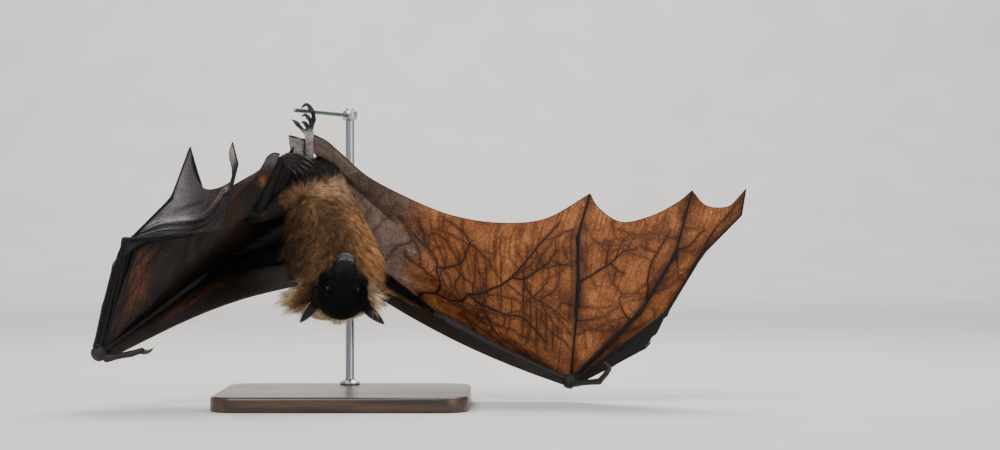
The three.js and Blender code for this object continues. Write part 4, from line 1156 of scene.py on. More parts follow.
MEMBRANE = 0.0006
CORD_SWELL = 1.5  # how much wider a vein is drawn than its own width
VEIN_FLATNESS = 0.75
HALO_DEPTH = 0.72  # how dark the skin is beside a vein, and how far that reaches
HALO_WIDTH = 0.0023
VEIN_SPACING = 0.0022
TWIG_STEP = 0.002
BRANCHING = 0.07  # the chance that a fine vein forks at a step
OUT_STEP = 0.004  # how far apart, in u and s, a surface is felt for its slope
ARM_START = 0.06  # how far along its bones each kind of panel starts
HAND_START = 0.03
RIGHT_WING = {
    "body_line": mm(
        (28, 22, 144), (24, 22, 174), (4, 24, 212), (-14, 26, 236), (-33, 8, 253), (-31, -10, 270)
    ),
    "leading": mm((8, 2, 124), (66, 11, 88), (120, 22, 59), (172, 32, 36), (228, 42, 15)),
    "trailing": mm(
        (200, 16, 186), (155, 24, 182), (105, 26, 190), (54, 20, 211), (20, 11, 230), (-6, 1, 253),
        (-19, -5, 264),
    ),
    "ring_little": mm((333, -8, 203), (306, -2, 189), (276, 2, 183), (253, 4, 198)),
    "middle_ring": mm((390, -35, 207), (382, -32, 199), (370, -27, 197), (358, -21, 200)),
    "index_middle": mm((309, 9, 69), (311, 8, 70)),
    "billow": mm(0, 12, 0),
    "hand_billow": mm(0, 8, 0),
}
LEFT_WING = {
    "body_line": mm(
        (-54, 20, 160), (-56, 20, 186), (-60, 6, 204), (-86, -11, 192), (-74, -22, 220), (-62, -32, 250)
    ),
    "leading": mm((-30, -2, 124), (-100, -8, 107), (-146, -20, 90), (-190, -38, 69), (-230, -58, 48)),
    "trailing": mm((-98, -10, 226), (-88, -18, 231), (-80, -24, 237), (-75, -29, 247), (-68, -31, 251)),
    "ring_little": mm((-143, -18, 226), (-138, -12, 212)),
    "middle_ring": mm(
        (-110, -52, 250), (-107, -55, 236), (-106, -56, 225), (-121, -51, 216), (-136, -44, 216),
        (-147, -35, 232),
    ),
    "index_middle": mm((-216, -68, 153), (-215.5, -68, 154)),
    "billow": mm(0, 14, 4),
    "hand_billow": mm(0, 5, 0),
}
MIDDLE_STOPS = [0, 0.47, 0.72, 0.91, 1]
OUTER_STOPS = [0, 0.47, 0.74, 1]


def on_chain(points, stops, t):
    """Places on a row of straight bones; each bone's end is reached at its stop."""
    return np.stack([np.interp(t, stops, points[:, k]) for k in range(3)], axis=-1)


def rounded(points, stops):
    """A row of bones as 401 places, with its corners rounded off."""
    t = np.linspace(0, 1, 401)
    reach = np.minimum(0.1, np.minimum(t, 1 - t))
    return sum(on_chain(points, stops, t + reach * k) for k in np.linspace(-1, 1, 21)) / 21


def between(one, two, stops, free_edge, billow, start=HAND_START):
    """Wing skin between two rows of bones: u runs out along them, and s from one to the other."""
    hem = smooth_line([one[-1], *free_edge, two[-1]], 401)
    even = np.linspace(0, 1, 401)
    one_soft, two_soft = rounded(one, stops[0]), rounded(two, stops[1])

    def surface(u, s):
        u, s = np.broadcast_arrays(np.asarray(u, float), np.asarray(s, float))
        t = start + (1 - start) * u
        off_one, off_two = ramp(0.02, 0.4, s)[..., None], ramp(0.02, 0.4, 1 - s)[..., None]
        one_side = on_chain(one, stops[0], t) * (1 - off_one) + on_chain(one_soft, even, t) * off_one
        two_side = on_chain(two, stops[1], t) * (1 - off_two) + on_chain(two_soft, even, t) * off_two
        last = one[-1] + (two[-1] - one[-1]) * s[..., None]
        puff = np.sin(np.pi * s) * np.sin(np.pi * np.minimum(1, 0.94 * t))
        sag = (on_chain(hem, even, s) - last) * (t**3)[..., None]
        return one_side + (two_side - one_side) * s[..., None] + sag + billow * puff[..., None]

    return surface


def across_the(surface, u, s, first=-1, last=2):
    """The direction straight out of a surface at each u and s, felt no further than two values of u."""
    along = surface(np.minimum(u + OUT_STEP, last), s) - surface(np.maximum(u - OUT_STEP, first), s)
    across = surface(u, np.minimum(s + OUT_STEP, 1)) - surface(u, np.maximum(s - OUT_STEP, 0))
    out = np.cross(along, across)
    return out / (np.linalg.norm(out, axis=-1, keepdims=True) + 1e-12)


def rippled(surface, ripple):
    """The same surface, raised and lowered along its own normal."""
    return lambda u, s: surface(u, s) + across_the(surface, u, s, 0, 1) * ripple(u, s)[..., None]


def sheet(surface, columns, rows, first=0.0):
    """A thin closed sheet over a surface from u = first to 1, and each point's u and s."""
    u, s = np.meshgrid(np.linspace(first, 1, columns + 1), np.linspace(0, 1, rows + 1), indexing="ij")
    middle = surface(u, s)
    normal = np.cross(np.gradient(middle, axis=0), np.gradient(middle, axis=1))
    normal /= np.linalg.norm(normal, axis=-1, keepdims=True) + 1e-12
    points = np.vstack([(middle + side * normal * MEMBRANE / 2).reshape(-1, 3) for side in (1, -1)])
    count = middle.shape[0] * middle.shape[1]
    grid = np.arange(count).reshape(middle.shape[:2])
    a, b, c, d = grid[:-1, :-1], grid[1:, :-1], grid[1:, 1:], grid[:-1, 1:]
    front = np.stack([a, b, c, d], -1).reshape(-1, 4)
    loop = np.concatenate([grid[:, 0], grid[-1, 1:], grid[-2::-1, -1], grid[0, -2:0:-1]])
    after = np.roll(loop, -1)
    rim = np.stack([after, loop, loop + count, after + count], -1)
    faces = closed(points, [np.vstack([front, front[:, ::-1] + count, rim])])
    return points, faces, np.tile(u.ravel(), 2), np.tile(s.ravel(), 2)


def cord(places, out, sizes, flatness, sides=6):
    """A tapering cord laid on a surface; sizes are half widths in millimetres along it."""
    tangent = unit(np.gradient(places, axis=0))
    side = unit(np.cross(tangent, out))
    width = np.interp(np.linspace(0, 1, len(places)), np.linspace(0, 1, len(sizes)), sizes) / 1000
    height = np.maximum(width * flatness, 0.0004)
    return tube(ovals(places, side, np.cross(side, tangent), width, height, height, sides))


def vein_on(surface, route, sizes, dark=1.0):
    """A vein on a surface by its route in u and s: its places, way out, sizes and depth of colour."""
    route = np.array(route, float)
    rough = surface(*route.T)
    count = max(5, int(np.linalg.norm(np.diff(rough, axis=0), axis=1).sum() / VEIN_SPACING))
    u, s = smooth_line(route, count).T
    return surface(u, s), across_the(surface, u, s), sizes, dark


def twigs_on(surface, starts, reach, rng, thickness=0.55, dark=0.9):
    """Branching fine veins that wander over a surface from each start: its u, its s and a heading."""
    grown = []
    stack = []
    for u, s, heading in starts:
        stack.append((np.array([u, s], float), heading, reach * (0.7 + 0.6 * rng.random()), thickness, 0))
    while stack:
        at, heading, left, size, depth = stack.pop()
        route = [at.copy()]
        travelled = 0.0
        while travelled < left:
            here = surface(*at)
            by_u = np.linalg.norm(surface(at[0] + 0.003, at[1]) - here) / 0.003 + 1e-4
            by_s = np.linalg.norm(surface(at[0], at[1] + 0.003) - here) / 0.003 + 1e-4
            heading += rng.normal(0, 0.2)
            at = at + TWIG_STEP * np.array([np.cos(heading) / by_u, np.sin(heading) / by_s])
            if not (0.01 < at[0] < 0.985 and 0.01 < at[1] < 0.985):
                break
            route.append(at.copy())
            travelled += TWIG_STEP
            if depth < 3 and rng.random() < BRANCHING and travelled < 0.8 * left:
                side = rng.choice((-1, 1))
                turned_to = heading + side * rng.uniform(0.5, 1.0)
                stack.append((at.copy(), turned_to, (left - travelled) * 0.75, size * 0.75, depth + 1))
                heading -= side * 0.2
        if len(route) > 4:
            u, s = np.array(route).T
            sizes = (size, size * 0.8, size * 0.4)
            grown.append((surface(u, s), across_the(surface, u, s), sizes, dark * (1 - 0.15 * depth)))
    return grown


RUST = paint("#905832")
RUST_PALE = paint("#b07546")
RUST_DEEP = paint("#5a331d")
BONE_SHADE = paint("#26130b")
FLANK_GREY = paint("#69584e")
LEG_GREY = paint("#8d8179")
TAIL_GREY = paint("#aca7a4")
FOLDED_BROWN = paint("#2f1d12")
FOLDED_PAINTED_SHADOW = paint("#14100e")
FOLDED_GLOW = paint("#8f5630")
FORE_GREY = paint("#2a2422")
SAIL_GREY = paint("#2a272b")
SAIL_PAINTED_SHADE = paint("#151316")
SAIL_PALE_PAINTED_LIGHT = paint("#5c585f")

membrane, nodes = new_finish("wing skin", 0.42, Specular_IOR_Level=0.26)
spot = spot_on(nodes)
shade = carried(nodes, "shade", "Color")
veined = carried(nodes, "net")
small = tone(nodes, spot, 520.0)
grain = spread(nodes, cloudy(nodes, spot, 1500.0, 2.0), 0.3, 0.7, 0.0, 1.0)
large = mixed(nodes, tone(nodes, spot, 90.0), (0.8, 0.77, 0.75, 1), (1.18, 1.18, 1.17, 1))
base = tinted(nodes, shade, large)
base = tinted(nodes, base, mixed(nodes, small, (0.72, 0.68, 0.66, 1), (1.28, 1.3, 1.3, 1)))
base = tinted(nodes, base, mixed(nodes, grain, (0.84, 0.83, 0.82, 1), (1.16, 1.16, 1.16, 1)))
lines = cloudy(nodes, scaled(nodes, carried(nodes, "laid", "Vector"), (2.6, 62.0, 1.0)), 1.0, 1.5)
line_mask = times(nodes, spread(nodes, lines, 0.52, 0.62, 0.0, 0.72), veined)
base = mixed(nodes, line_mask, base, tinted(nodes, base, (0.42, 0.36, 0.34, 1)))
bent = place(nodes, "ShaderNodeTexNoise", {"Vector": spot, "Scale": 60.0, "Detail": 3.0}).outputs["Color"]
bent_spot = place(nodes, "ShaderNodeMix", {0: 0.012, 4: spot, 5: bent}, data_type="VECTOR").outputs[1]
for fineness, width, strength in ((95.0, 0.035, 0.6), (230.0, 0.05, 0.4)):
    thread = spread(nodes, cell_edges(nodes, bent_spot, fineness), 0.0, width, strength, 0.0)
    base = mixed(nodes, times(nodes, thread, veined), base, tinted(nodes, base, (0.4, 0.32, 0.3, 1)))
flecks = spread(nodes, cloudy(nodes, scaled(nodes, spot, (1.0, 1.0, 0.6)), 430.0, 2.0), 0.62, 0.72, 0.0, 1.0)
where_flecked = spread(nodes, tone(nodes, spot, 38.0), 0.35, 0.9, 0.15, 0.75)
fleck_share = times(nodes, times(nodes, flecks, where_flecked), veined)
speck = mixed(nodes, 1.0, tinted(nodes, base, (2.4, 2.5, 2.6, 1)), (0.05, 0.03, 0.018, 1), "ADD")
base = mixed(nodes, fleck_share, base, speck)
base = mixed(nodes, carried(nodes, "vein"), base, tinted(nodes, shade, (0.1, 0.066, 0.062, 1)))
satin = spread(nodes, small, 0.0, 1.0, 0.34, 0.52)
drawn = relief(nodes, 0.55, 0.0012, lines, wrinkled(nodes, spot, 700.0, 0.5)["Normal"])
feed(nodes, Base_Color=base, Roughness=satin, Normal=drawn)


def gap_to_bones(places, *bones):
    """How far each place is from the nearest of some rows of bones, in millimetres."""
    gap = np.full(len(places), 1e3)
    for row in bones:
        for start, end in zip(row[:-1], row[1:]):
            way = end - start
            share = np.clip((places - start) @ way / (way @ way), 0, 1)
            gap = np.minimum(gap, np.linalg.norm(places - start - share[:, None] * way, axis=1) * 1000)
    return gap


PLAIN_PANELS = {  # the panels of one colour
    ("right", "tail"): TAIL_GREY,
    ("left", "tail"): SAIL_GREY,
    ("right", "index_middle"): FINGER_BLACK,
    ("left", "index_middle"): FINGER_BLACK,
    ("left", "ring_little"): FINGER_BLACK,
}


def wing_tint(places, name, where, u, s):
    """The wing skin's broad colours at places on it."""
    if (name, where) in PLAIN_PANELS:
        return np.tile(PLAIN_PANELS[name, where], (len(places), 1))
    x, _, z = (places * 1000).T
    rough = veer(places, 28.0) + 0.5 * veer(places, 75.0, 9.0)
    if (name, where) == ("right", "fore"):
        return layered(SLATE, (ARM_BLACK, 0.6 * (1 - ramp(60, 190, x))))
    arm = ARMS[name]
    bones = np.array([arm["shoulder"], arm["elbow"], arm["wrist"]])
    gap = gap_to_bones(places, bones, arm["middle"], arm["ring"], arm["little"])
    if name == "right":
        near_body = 1 - ramp(-28, 28, x - 66 - 0.1 * (z - 140) + 9 * rough)
        near_leg = 1 - ramp(-14, 24, x - 0.2 * (z - 200) + 5 * rough)
        return layered(
            RUST,
            (RUST_PALE, 0.7 * ramp(0.0, 0.7, rough)),
            (RUST_DEEP, 0.5 * ramp(0.0, 0.7, -rough)),
            (FLANK_GREY, 0.95 * near_body),
            (LEG_GREY, 0.5 * near_leg * near_body),
            (BONE_SHADE, 0.75 * hump(gap + 2 * rough, 0, 7.5) * (1 - 0.6 * near_body)),
        )
    if where == "side":
        near_arm = gap_to_bones(places * (1, 0, 1), bones * (1, 0, 1))
        armpit_painted_shadow = ramp(-112, -86, x + 8 * rough) * (1 - ramp(216, 226, z))
        spot_of_light = np.exp(-(((x + 80) / 3.2) ** 2) - ((z - 224) / 5.5) ** 2)
        glow = hump(s, 0.07, 0.075) * ramp(0.5, 0.58, u) * (1 - ramp(0.74, 0.8, u))
        return layered(
            FOLDED_BROWN,
            (RUST_DEEP, 0.4 * ramp(0.0, 0.6, rough)),
            # painted shadow round the arm, in the armpit and along the bones of the folded wing
            (FOLDED_PAINTED_SHADOW, 0.9 * hump(near_arm + 8 * rough, 0, 20 + 0.12 * (x + 230))),
            (FOLDED_PAINTED_SHADOW, 0.9 * armpit_painted_shadow),
            (FOLDED_GLOW, 0.6 * spot_of_light),
            # a pale grey patch over the heel: the membrane's own grey with painted light
            (SAIL_PALE_PAINTED_LIGHT, 0.75 * ramp(0.9, 0.97, u) * ramp(0.55, 0.75, s)),
            (FOLDED_GLOW, 0.6 * glow * (0.75 + 0.4 * rough).clip(0.2, 1)),
            (FOLDED_PAINTED_SHADOW, 0.85 * hump(gap + 3 * rough, 0, 10)),
        )
    if where == "fore":
        streak = hump(s - 0.45 - 0.1 * rough, 0, 0.14) * ramp(0.3, 0.4, u) * (1 - ramp(0.6, 0.75, u))
        return layered(
            FORE_GREY,
            (FOLDED_GLOW, 0.35 * streak * (0.6 + np.sin(130 * s + 9 * rough)).clip(0, 1)),
            # painted shadow along the bones
            (FOLDED_PAINTED_SHADOW, 0.85 * hump(gap + 3 * rough, 0, 15)),
        )
    return layered(
        SAIL_GREY,
        # painted shade towards the middle finger and painted light towards the ring finger, over the sail's
        # own grey
        (SAIL_PAINTED_SHADE, 0.7 * (1 - ramp(0.02, 0.45, s + 0.1 * rough))),
        (FOLDED_BROWN, 0.6 * hump(s, 0.4, 0.22) * ramp(0.6, 0.8, u)),
        (SAIL_PALE_PAINTED_LIGHT, 0.75 * ramp(0.45, 0.85, s + 0.08 * rough) * (1 - 0.5 * ramp(0.8, 1, u))),
        (TAIL_GREY, 0.5 * ramp(0.9, 0.96, u) * ramp(0.4, 0.2, s)),
    )


def add_wing_skin(name, where, surface, grid, cords, hems, net, creases=None):
    """A sheet of wing skin with its raised veins and the cords along its free edges, and, where given,
    painted highlights and shade over its creases.
    """
    points, faces, u, s = sheet(surface, *grid)
    halo = np.zeros(len(points))
    if cords:
        close = tree_of(np.vstack([places for places, *_ in cords]))
        depths = np.concatenate([np.full(len(places), dark) for places, _, _, dark in cords])
        found = np.array([close.find(place_now)[1:] for place_now in points])
        halo = HALO_DEPTH * hump(found[:, 1], 0, HALO_WIDTH) * depths[found[:, 0].astype(int)]
    bodies = [(points, faces)]
    for places, out, sizes, _ in cords:
        bodies.append(cord(places, out, CORD_SWELL * np.array(sizes), VEIN_FLATNESS))
    bodies += [cord(places, out, sizes, 1.0, 8) for places, out, sizes, _ in hems]
    made = new_piece(f"wing_{where}_{name}", *joined(bodies))
    everywhere = np.vstack([body for body, _ in bodies])
    more = len(everywhere) - len(points)
    u_all, s_all = (np.append(values, np.full(more, 0.5)) for values in (u, s))
    darks = [np.full(len(body), dark) for (body, _), (*_, dark) in zip(bodies[1:], [*cords, *hems])]
    colours = wing_tint(everywhere, name, where, u_all, s_all)
    # painted light and shade over the creases: raised folds are lightened and paled, hollows darkened
    if creases is not None:
        height = creases(u, s) * 1000
        crease_painted_shading = colours[: len(points)] * np.clip(1 + 0.95 * height, 0.2, 2.2)[:, None]
        colours[: len(points)] = layered(crease_painted_shading, (TAIL_GREY, (0.35 * (height - 0.45)).clip(0, 0.4)))
    net_here = net * (0.4 + 0.6 * ramp(30, 95, np.abs(points[:, 0]) * 1000))
    keep(made, "shade", colours)
    keep(made, "vein", np.concatenate([halo, *darks]))
    keep(made, "net", np.concatenate([net_here, np.zeros(more)]))
    keep(made, "laid", np.column_stack([u_all, s_all, np.zeros(len(u_all))]))
    made.data.materials.append(membrane)
    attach(made, "root")
    solid = f"{where}_skin_{name}" if where in ("side", "fore", "tail") else f"hand_skin_{where}_{name}"
    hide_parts(solid)


# ---- Spread right wing -----------------------------------------------------------------------
# Five panels of skin: from flank and leg to the arm and little finger, in front of the arm, and
# between the fingers. Blood vessels branch across them, with rows of thin elastic bands.

WING_VEINS = [  # each a route in u and s, and its half widths in millimetres
    (
        [(0.158, 0.195), (0.212, 0.321), (0.295, 0.381), (0.353, 0.376), (0.433, 0.411), (0.533, 0.434)],
        (1.0, 1.15),
    ),
    (
        [(0.533, 0.434), (0.541, 0.383), (0.559, 0.336), (0.583, 0.273), (0.611, 0.221), (0.577, 0.11)],
        (1.0, 0.5),
    ),
    ([(0.541, 0.383), (0.505, 0.346), (0.429, 0.208), (0.427, 0.143)], (0.75, 0.35)),
    (
        [
            (0.533, 0.434), (0.569, 0.409), (0.635, 0.353), (0.689, 0.296), (0.727, 0.263), (0.838, 0.183),
            (0.952, 0.098),
        ],
        (1.1, 0.5),
    ),
    (
        [(0.301, 0.391), (0.411, 0.499), (0.525, 0.571), (0.553, 0.569), (0.609, 0.571), (0.667, 0.602)],
        (1.0, 0.5),
    ),
    ([(0.553, 0.566), (0.625, 0.509), (0.693, 0.451), (0.774, 0.419), (0.848, 0.396)], (0.8, 0.4)),
    ([(0.735, 0.251), (0.743, 0.213), (0.768, 0.183), (0.814, 0.118), (0.848, 0.085)], (0.75, 0.4)),
    ([(0.743, 0.213), (0.711, 0.198), (0.689, 0.168), (0.683, 0.128)], (0.6, 0.3)),
]
WING_RIDGES = [  # vessels that stand proud where the skin is slack near the body
    ([(0.553, 0.99), (0.637, 0.955), (0.856, 0.857), (0.914, 0.837), (0.976, 0.817)], (1.2, 0.9), 0.1),
    ([(0.575, 0.967), (0.59, 0.92), (0.65, 0.86), (0.703, 0.827), (0.762, 0.772)], (0.9, 0.6), 0.15),
    (
        [(0.958, 0.717), (0.874, 0.724), (0.731, 0.777), (0.543, 0.872), (0.361, 0.945), (0.257, 0.985)],
        (0.8, 1.1), 0.3,
    ),
    (
        [(0.876, 0.667), (0.683, 0.739), (0.525, 0.825), (0.349, 0.872), (0.2, 0.942), (0.12, 0.98)],
        (0.7, 1.0), 0.5,
    ),
    ([(0.425, 0.975), (0.58, 0.9), (0.711, 0.83), (0.872, 0.757)], (0.7, 0.5), 0.3),
    ([(0.619, 0.669), (0.435, 0.737), (0.307, 0.734), (0.176, 0.709), (0.104, 0.662)], (0.9, 1.1), 0.7),
]
ELASTIC_BANDS = [
    [(0.665, 0.521), (0.591, 0.536), (0.523, 0.551), (0.371, 0.426)],
    [(0.733, 0.451), (0.621, 0.469), (0.525, 0.484), (0.321, 0.236)],
    [(0.788, 0.386), (0.671, 0.401), (0.571, 0.414), (0.401, 0.283)],
    [(0.756, 0.351), (0.649, 0.358), (0.553, 0.366), (0.361, 0.135)],
    [(0.812, 0.288), (0.709, 0.298), (0.619, 0.301), (0.535, 0.303)],
    [(0.659, 0.258), (0.611, 0.258), (0.565, 0.258), (0.515, 0.251)],
    [(0.784, 0.211), (0.701, 0.213), (0.625, 0.208), (0.555, 0.206)],
    [(0.729, 0.188), (0.663, 0.183), (0.601, 0.18), (0.541, 0.178)],
    [(0.663, 0.158), (0.621, 0.155), (0.581, 0.153), (0.543, 0.148)],
    [(0.683, 0.123), (0.641, 0.118), (0.601, 0.113), (0.559, 0.11)],
    [(0.629, 0.088), (0.607, 0.085), (0.587, 0.083), (0.565, 0.08)],
]
BAND_SIZES = (0.4, 0.6, 0.3)
HAND_VEINS = [
    (
        [(0.493, 0.985), (0.561, 0.82), (0.619, 0.719), (0.681, 0.619), (0.764, 0.531), (0.782, 0.414)],
        (1.0, 0.45),
    ),
    ([(0.673, 0.662), (0.758, 0.677), (0.824, 0.682)], (0.6, 0.3)),
    ([(0.723, 0.584), (0.794, 0.581), (0.862, 0.574)], (0.6, 0.3)),
    ([(0.764, 0.516), (0.826, 0.491), (0.876, 0.466)], (0.5, 0.3)),
    ([(0.681, 0.619), (0.649, 0.546), (0.629, 0.449)], (0.6, 0.3)),
    (
        [(0.511, 0.01), (0.561, 0.07), (0.605, 0.143), (0.659, 0.185), (0.715, 0.206), (0.854, 0.135)],
        (0.9, 0.4),
    ),
    ([(0.756, 0.223), (0.778, 0.323), (0.81, 0.398)], (0.5, 0.25)),
    ([(0.391, 0.01), (0.415, 0.168), (0.459, 0.316), (0.493, 0.371), (0.519, 0.368)], (0.8, 0.4)),
    ([(0.279, 0.985), (0.309, 0.724), (0.327, 0.614)], (0.7, 0.3)),
]
OUTER_VEINS = [
    ([(0.749, 0.98), (0.808, 0.684), (0.866, 0.629), (0.886, 0.564)], (0.8, 0.4)),
    ([(0.723, 0.02), (0.812, 0.378), (0.862, 0.406), (0.932, 0.373), (0.978, 0.168)], (0.8, 0.4)),
    ([(0.735, 0.98), (0.685, 0.664), (0.641, 0.476)], (0.6, 0.3)),
]
SIDE_STARTS = [  # u, s and heading of fine veins that leave no larger one
    (0.60, 0.02, 1.2), (0.70, 0.02, 1.4), (0.80, 0.02, 1.1), (0.66, 0.03, 1.7), (0.9, 0.03, 1.9),
    (0.45, 0.05, 0.8), (0.38, 0.06, 1.3), (0.30, 0.06, 1.0), (0.42, 0.62, 0.9),
]
HAND_STARTS = [
    (0.2, 0.96, -1.2), (0.36, 0.97, -1.5), (0.62, 0.97, -1.1), (0.82, 0.96, -1.6), (0.3, 0.03, 1.2),
    (0.6, 0.03, 1.0), (0.8, 0.03, 1.6), (0.52, 0.37, 0.9), (0.33, 0.61, -0.9), (0.15, 0.5, 0.4),
]
OUTER_STARTS = [
    (0.3, 0.97, -1.0), (0.55, 0.97, -0.8), (0.4, 0.04, 1.2), (0.85, 0.95, -1.3), (0.6, 0.05, 0.9),
]
HAND_PANELS = [  # fingers, grid, veins, starts of fine veins, how many more, and how far they reach
    ("ring", "little", (120, 80), HAND_VEINS, HAND_STARTS, 24, 0.032),
    ("middle", "ring", (130, 44), OUTER_VEINS, OUTER_STARTS, 14, 0.026),
]
HAND_TWIG_DARK = 0.72
ARM_STOPS = ([0, 0.22, 0.55, 0.76, 0.88, 1], [0, 0.22, 0.5, 0.66, 0.84, 1])
ARM_BACK = -ARM_START / (1 - ARM_START)  # the u at which a panel's bones begin
HAND_BACK = -HAND_START / (1 - HAND_START)
HAND_HEM = (0.5, 0.45, 0.5)
INDEX_HEM = (0.4, 0.35, 0.4)
FULL_EDGE = np.linspace(0, 1, 160)
SHORT_EDGE = np.linspace(0, 1, 60)
FOLD_EDGE = np.linspace(0.72, 0.985, 60)
rng = np.random.default_rng(41)


def held(u, s):
    """How free the skin is to ripple: not at all where it is held, most in its middle."""
    return (np.sin(np.pi * s.clip(0, 1)) * np.sin(np.pi * u.clip(0, 0.98))).clip(0) ** 0.5


def slack(u, s):
    """Soft waves of the spread wing, deeper near the body."""
    waves = np.sin(31 * s + 7 * u + 2 * np.sin(8 * u)) + 0.6 * np.sin(64 * s - 9 * u + 3 * np.sin(5 * s))
    return 0.0003 * held(u, s) * waves * (0.5 + 1.6 * s**2)


def taut(u, s):
    """Faint waves of the skin that the fingers stretch."""
    return 0.00022 * held(u, s) * np.sin(26 * s + 9 * u + 2 * np.sin(7 * u)) * np.sin(14 * u + 3 * s)


def arm_side(arm, wing, ripple):
    chain = np.array([arm["shoulder"], arm["elbow"], arm["wrist"], *arm["little"][1:]])
    surface = between(chain, wing["body_line"], ARM_STOPS, wing["trailing"], wing["billow"], ARM_START)
    return rippled(surface, ripple)


def hand_panel(arm, wing, one, two, ripple):
    stops = [MIDDLE_STOPS if finger == "middle" else OUTER_STOPS for finger in (one, two)]
    return rippled(between(arm[one], arm[two], stops, wing[f"{one}_{two}"], wing["hand_billow"]), ripple)


def index_panel(arm, wing):
    return between(arm["index"], arm["middle"][:2], ([0, 0.5, 1], [0, 1]), wing["index_middle"], np.zeros(3))


def arm_front(arm, wing):
    chain = np.array([arm["shoulder"], arm["elbow"], arm["wrist"]])
    edge = smooth_line(wing["leading"], 301)

    def surface(u, s):
        rear = on_chain(chain, [0, 0.42, 1], 0.04 + 0.95 * u)
        fore = on_chain(edge, np.linspace(0, 1, 301), u)
        dip = 0.0012 * np.sin(np.pi * s) * np.sin(17 * u)
        return rear + (fore - rear) * s[..., None] + dip[..., None] * np.array([0.2, -1.0, 0.1])

    return surface


def tail_web(leg):
    outer = smooth_line([leg["spur"][1], leg["edge"], leg["rump"]], 201)

    def surface(u, s):
        inner = leg["spur"][0] + (leg["knee"] - leg["spur"][0]) * (leg["reach"] * u)[..., None]
        far = on_chain(outer, np.linspace(0, 1, 201), u)
        fold = 0.0011 * np.sin(np.pi * s) * np.sin(11 * u + 4 * s)
        return inner + (far - inner) * s[..., None] + fold[..., None] * np.array([0.1, -1.0, 0.0])

    return surface


def hem_on(surface, u, s, sizes, dark=0.7):
    """The rolled cord along a free edge, from its places in u and s."""
    u, s = np.broadcast_arrays(np.asarray(u, float), np.asarray(s, float))
    return surface(u, s), across_the(surface, u, s), sizes, dark


def offshoots(surface, veins, count):
    """Where fine veins leave the larger ones, and which way each sets off."""
    starts = []
    for _ in range(count):
        route = np.array(veins[rng.integers(len(veins))][0], float)
        k = rng.integers(len(route) - 1)
        way = route[k + 1] - route[k]
        at = route[k] + rng.random() * way
        by_u = np.linalg.norm(surface(at[0] + 0.003, at[1]) - surface(*at))
        by_s = np.linalg.norm(surface(at[0], at[1] + 0.003) - surface(*at))
        heading = np.arctan2(way[1] * by_s, way[0] * by_u)
        starts.append((*at, heading + rng.choice((-1, 1)) * rng.uniform(0.7, 1.3)))
    return starts


wing_side = arm_side(RIGHT, RIGHT_WING, slack)
cords = [vein_on(wing_side, *vein) for vein in WING_VEINS + WING_RIDGES]
cords += [vein_on(wing_side, band, BAND_SIZES, 0.9) for band in ELASTIC_BANDS]
cords += twigs_on(wing_side, SIDE_STARTS + offshoots(wing_side, WING_VEINS, 34), 0.042, rng)
hem = [hem_on(wing_side, 1.0, FULL_EDGE, (0.55, 0.5, 0.5, 0.6, 0.9))]
for u_line, size in (((0.965, 0.955, 0.95), 0.8), ((0.99, 0.985, 0.98), 0.6)):
    u_fold = np.interp(FOLD_EDGE, (0.72, 0.85, 0.985), u_line)
    hem.append(hem_on(wing_side, u_fold, FOLD_EDGE, (0.2, size, size), 0.2))
add_wing_skin("right", "side", wing_side, (170, 135, ARM_BACK), cords, hem, 1.0)

fore = arm_front(RIGHT, RIGHT_WING)
hem = [hem_on(fore, FULL_EDGE, 1.0, (0.9, 0.8, 0.9))]
add_wing_skin("right", "fore", fore, (130, 18), [], hem, 0.2)

for one, two, grid, veins, starts, more, reach in HAND_PANELS:
    panel = hand_panel(RIGHT, RIGHT_WING, one, two, taut)
    cords = [vein_on(panel, *vein) for vein in veins]
    starts = starts + offshoots(panel, veins, more)
    cords += twigs_on(panel, starts, reach, rng, dark=HAND_TWIG_DARK)
    hem = [hem_on(panel, 1.0, FULL_EDGE, HAND_HEM)]
    add_wing_skin("right", f"{one}_{two}", panel, (*grid, HAND_BACK), cords, hem, 1.0)

panel = index_panel(RIGHT, RIGHT_WING)
add_wing_skin("right", "index_middle", panel, (70, 12), [], [hem_on(panel, 1.0, FULL_EDGE, INDEX_HEM)], 0.3)

web = tail_web(LEGS["right"])
hem = [hem_on(web, SHORT_EDGE, 1.0, (0.5, 0.5, 0.4), 0.2)]
ribs = [vein_on(web, [(0.02, 0.1), (0.5, 0.24), (0.98, 0.3)], (0.5, 0.6), 1.0)]
ribs += [vein_on(web, [(0.3, 0.4), (0.6, 0.44), (0.98, 0.46)], (0.3, 0.5), 0.1)]
add_wing_skin("right", "tail", web, (40, 26), ribs, hem, 0.3)

# ---- Folded left wing ------------------------------------------------------------------------
# The same panels half folded. The outer ones hang as a satin grey sail in bunched creases from
# the finger bones, and light comes orange through the skin beside the little finger.

FOLDED_STARTS = [  # u, s and heading of its fine veins
    (0.60, 0.03, 1.2), (0.70, 0.04, 1.4), (0.80, 0.04, 1.1), (0.5, 0.06, 1.7), (0.4, 0.05, 0.9),
    (0.65, 0.03, 0.7), (0.75, 0.03, 1.0), (0.3, 0.1, 1.2), (0.5, 0.4, 0.8), (0.4, 0.5, 0.2),
]


def folds(u, s):
    """The folded flank skin's long soft creases, which run with the arm."""
    waves = np.sin(44 * s + 4 * np.sin(5 * u)) + 0.5 * np.sin(23 * u + 12 * s)
    lines = 1 - 2 * np.abs(np.sin(95 * s + 3 * np.sin(4 * u + 3 * s))) ** 0.7
    return held(u, s) * (0.0003 * waves + 0.0002 * lines)


def flat(u, s):
    return 0.0 * u


sail = hand_panel(LEFT, LEFT_WING, "middle", "ring", flat)
SAIL_CORNER = LEFT["middle"][1]
SAIL_FOOT = unit(LEFT["middle"][2] - SAIL_CORNER)
SAIL_RISE = unit(np.array([0, 0, 1.0]) - SAIL_FOOT * SAIL_FOOT[2])


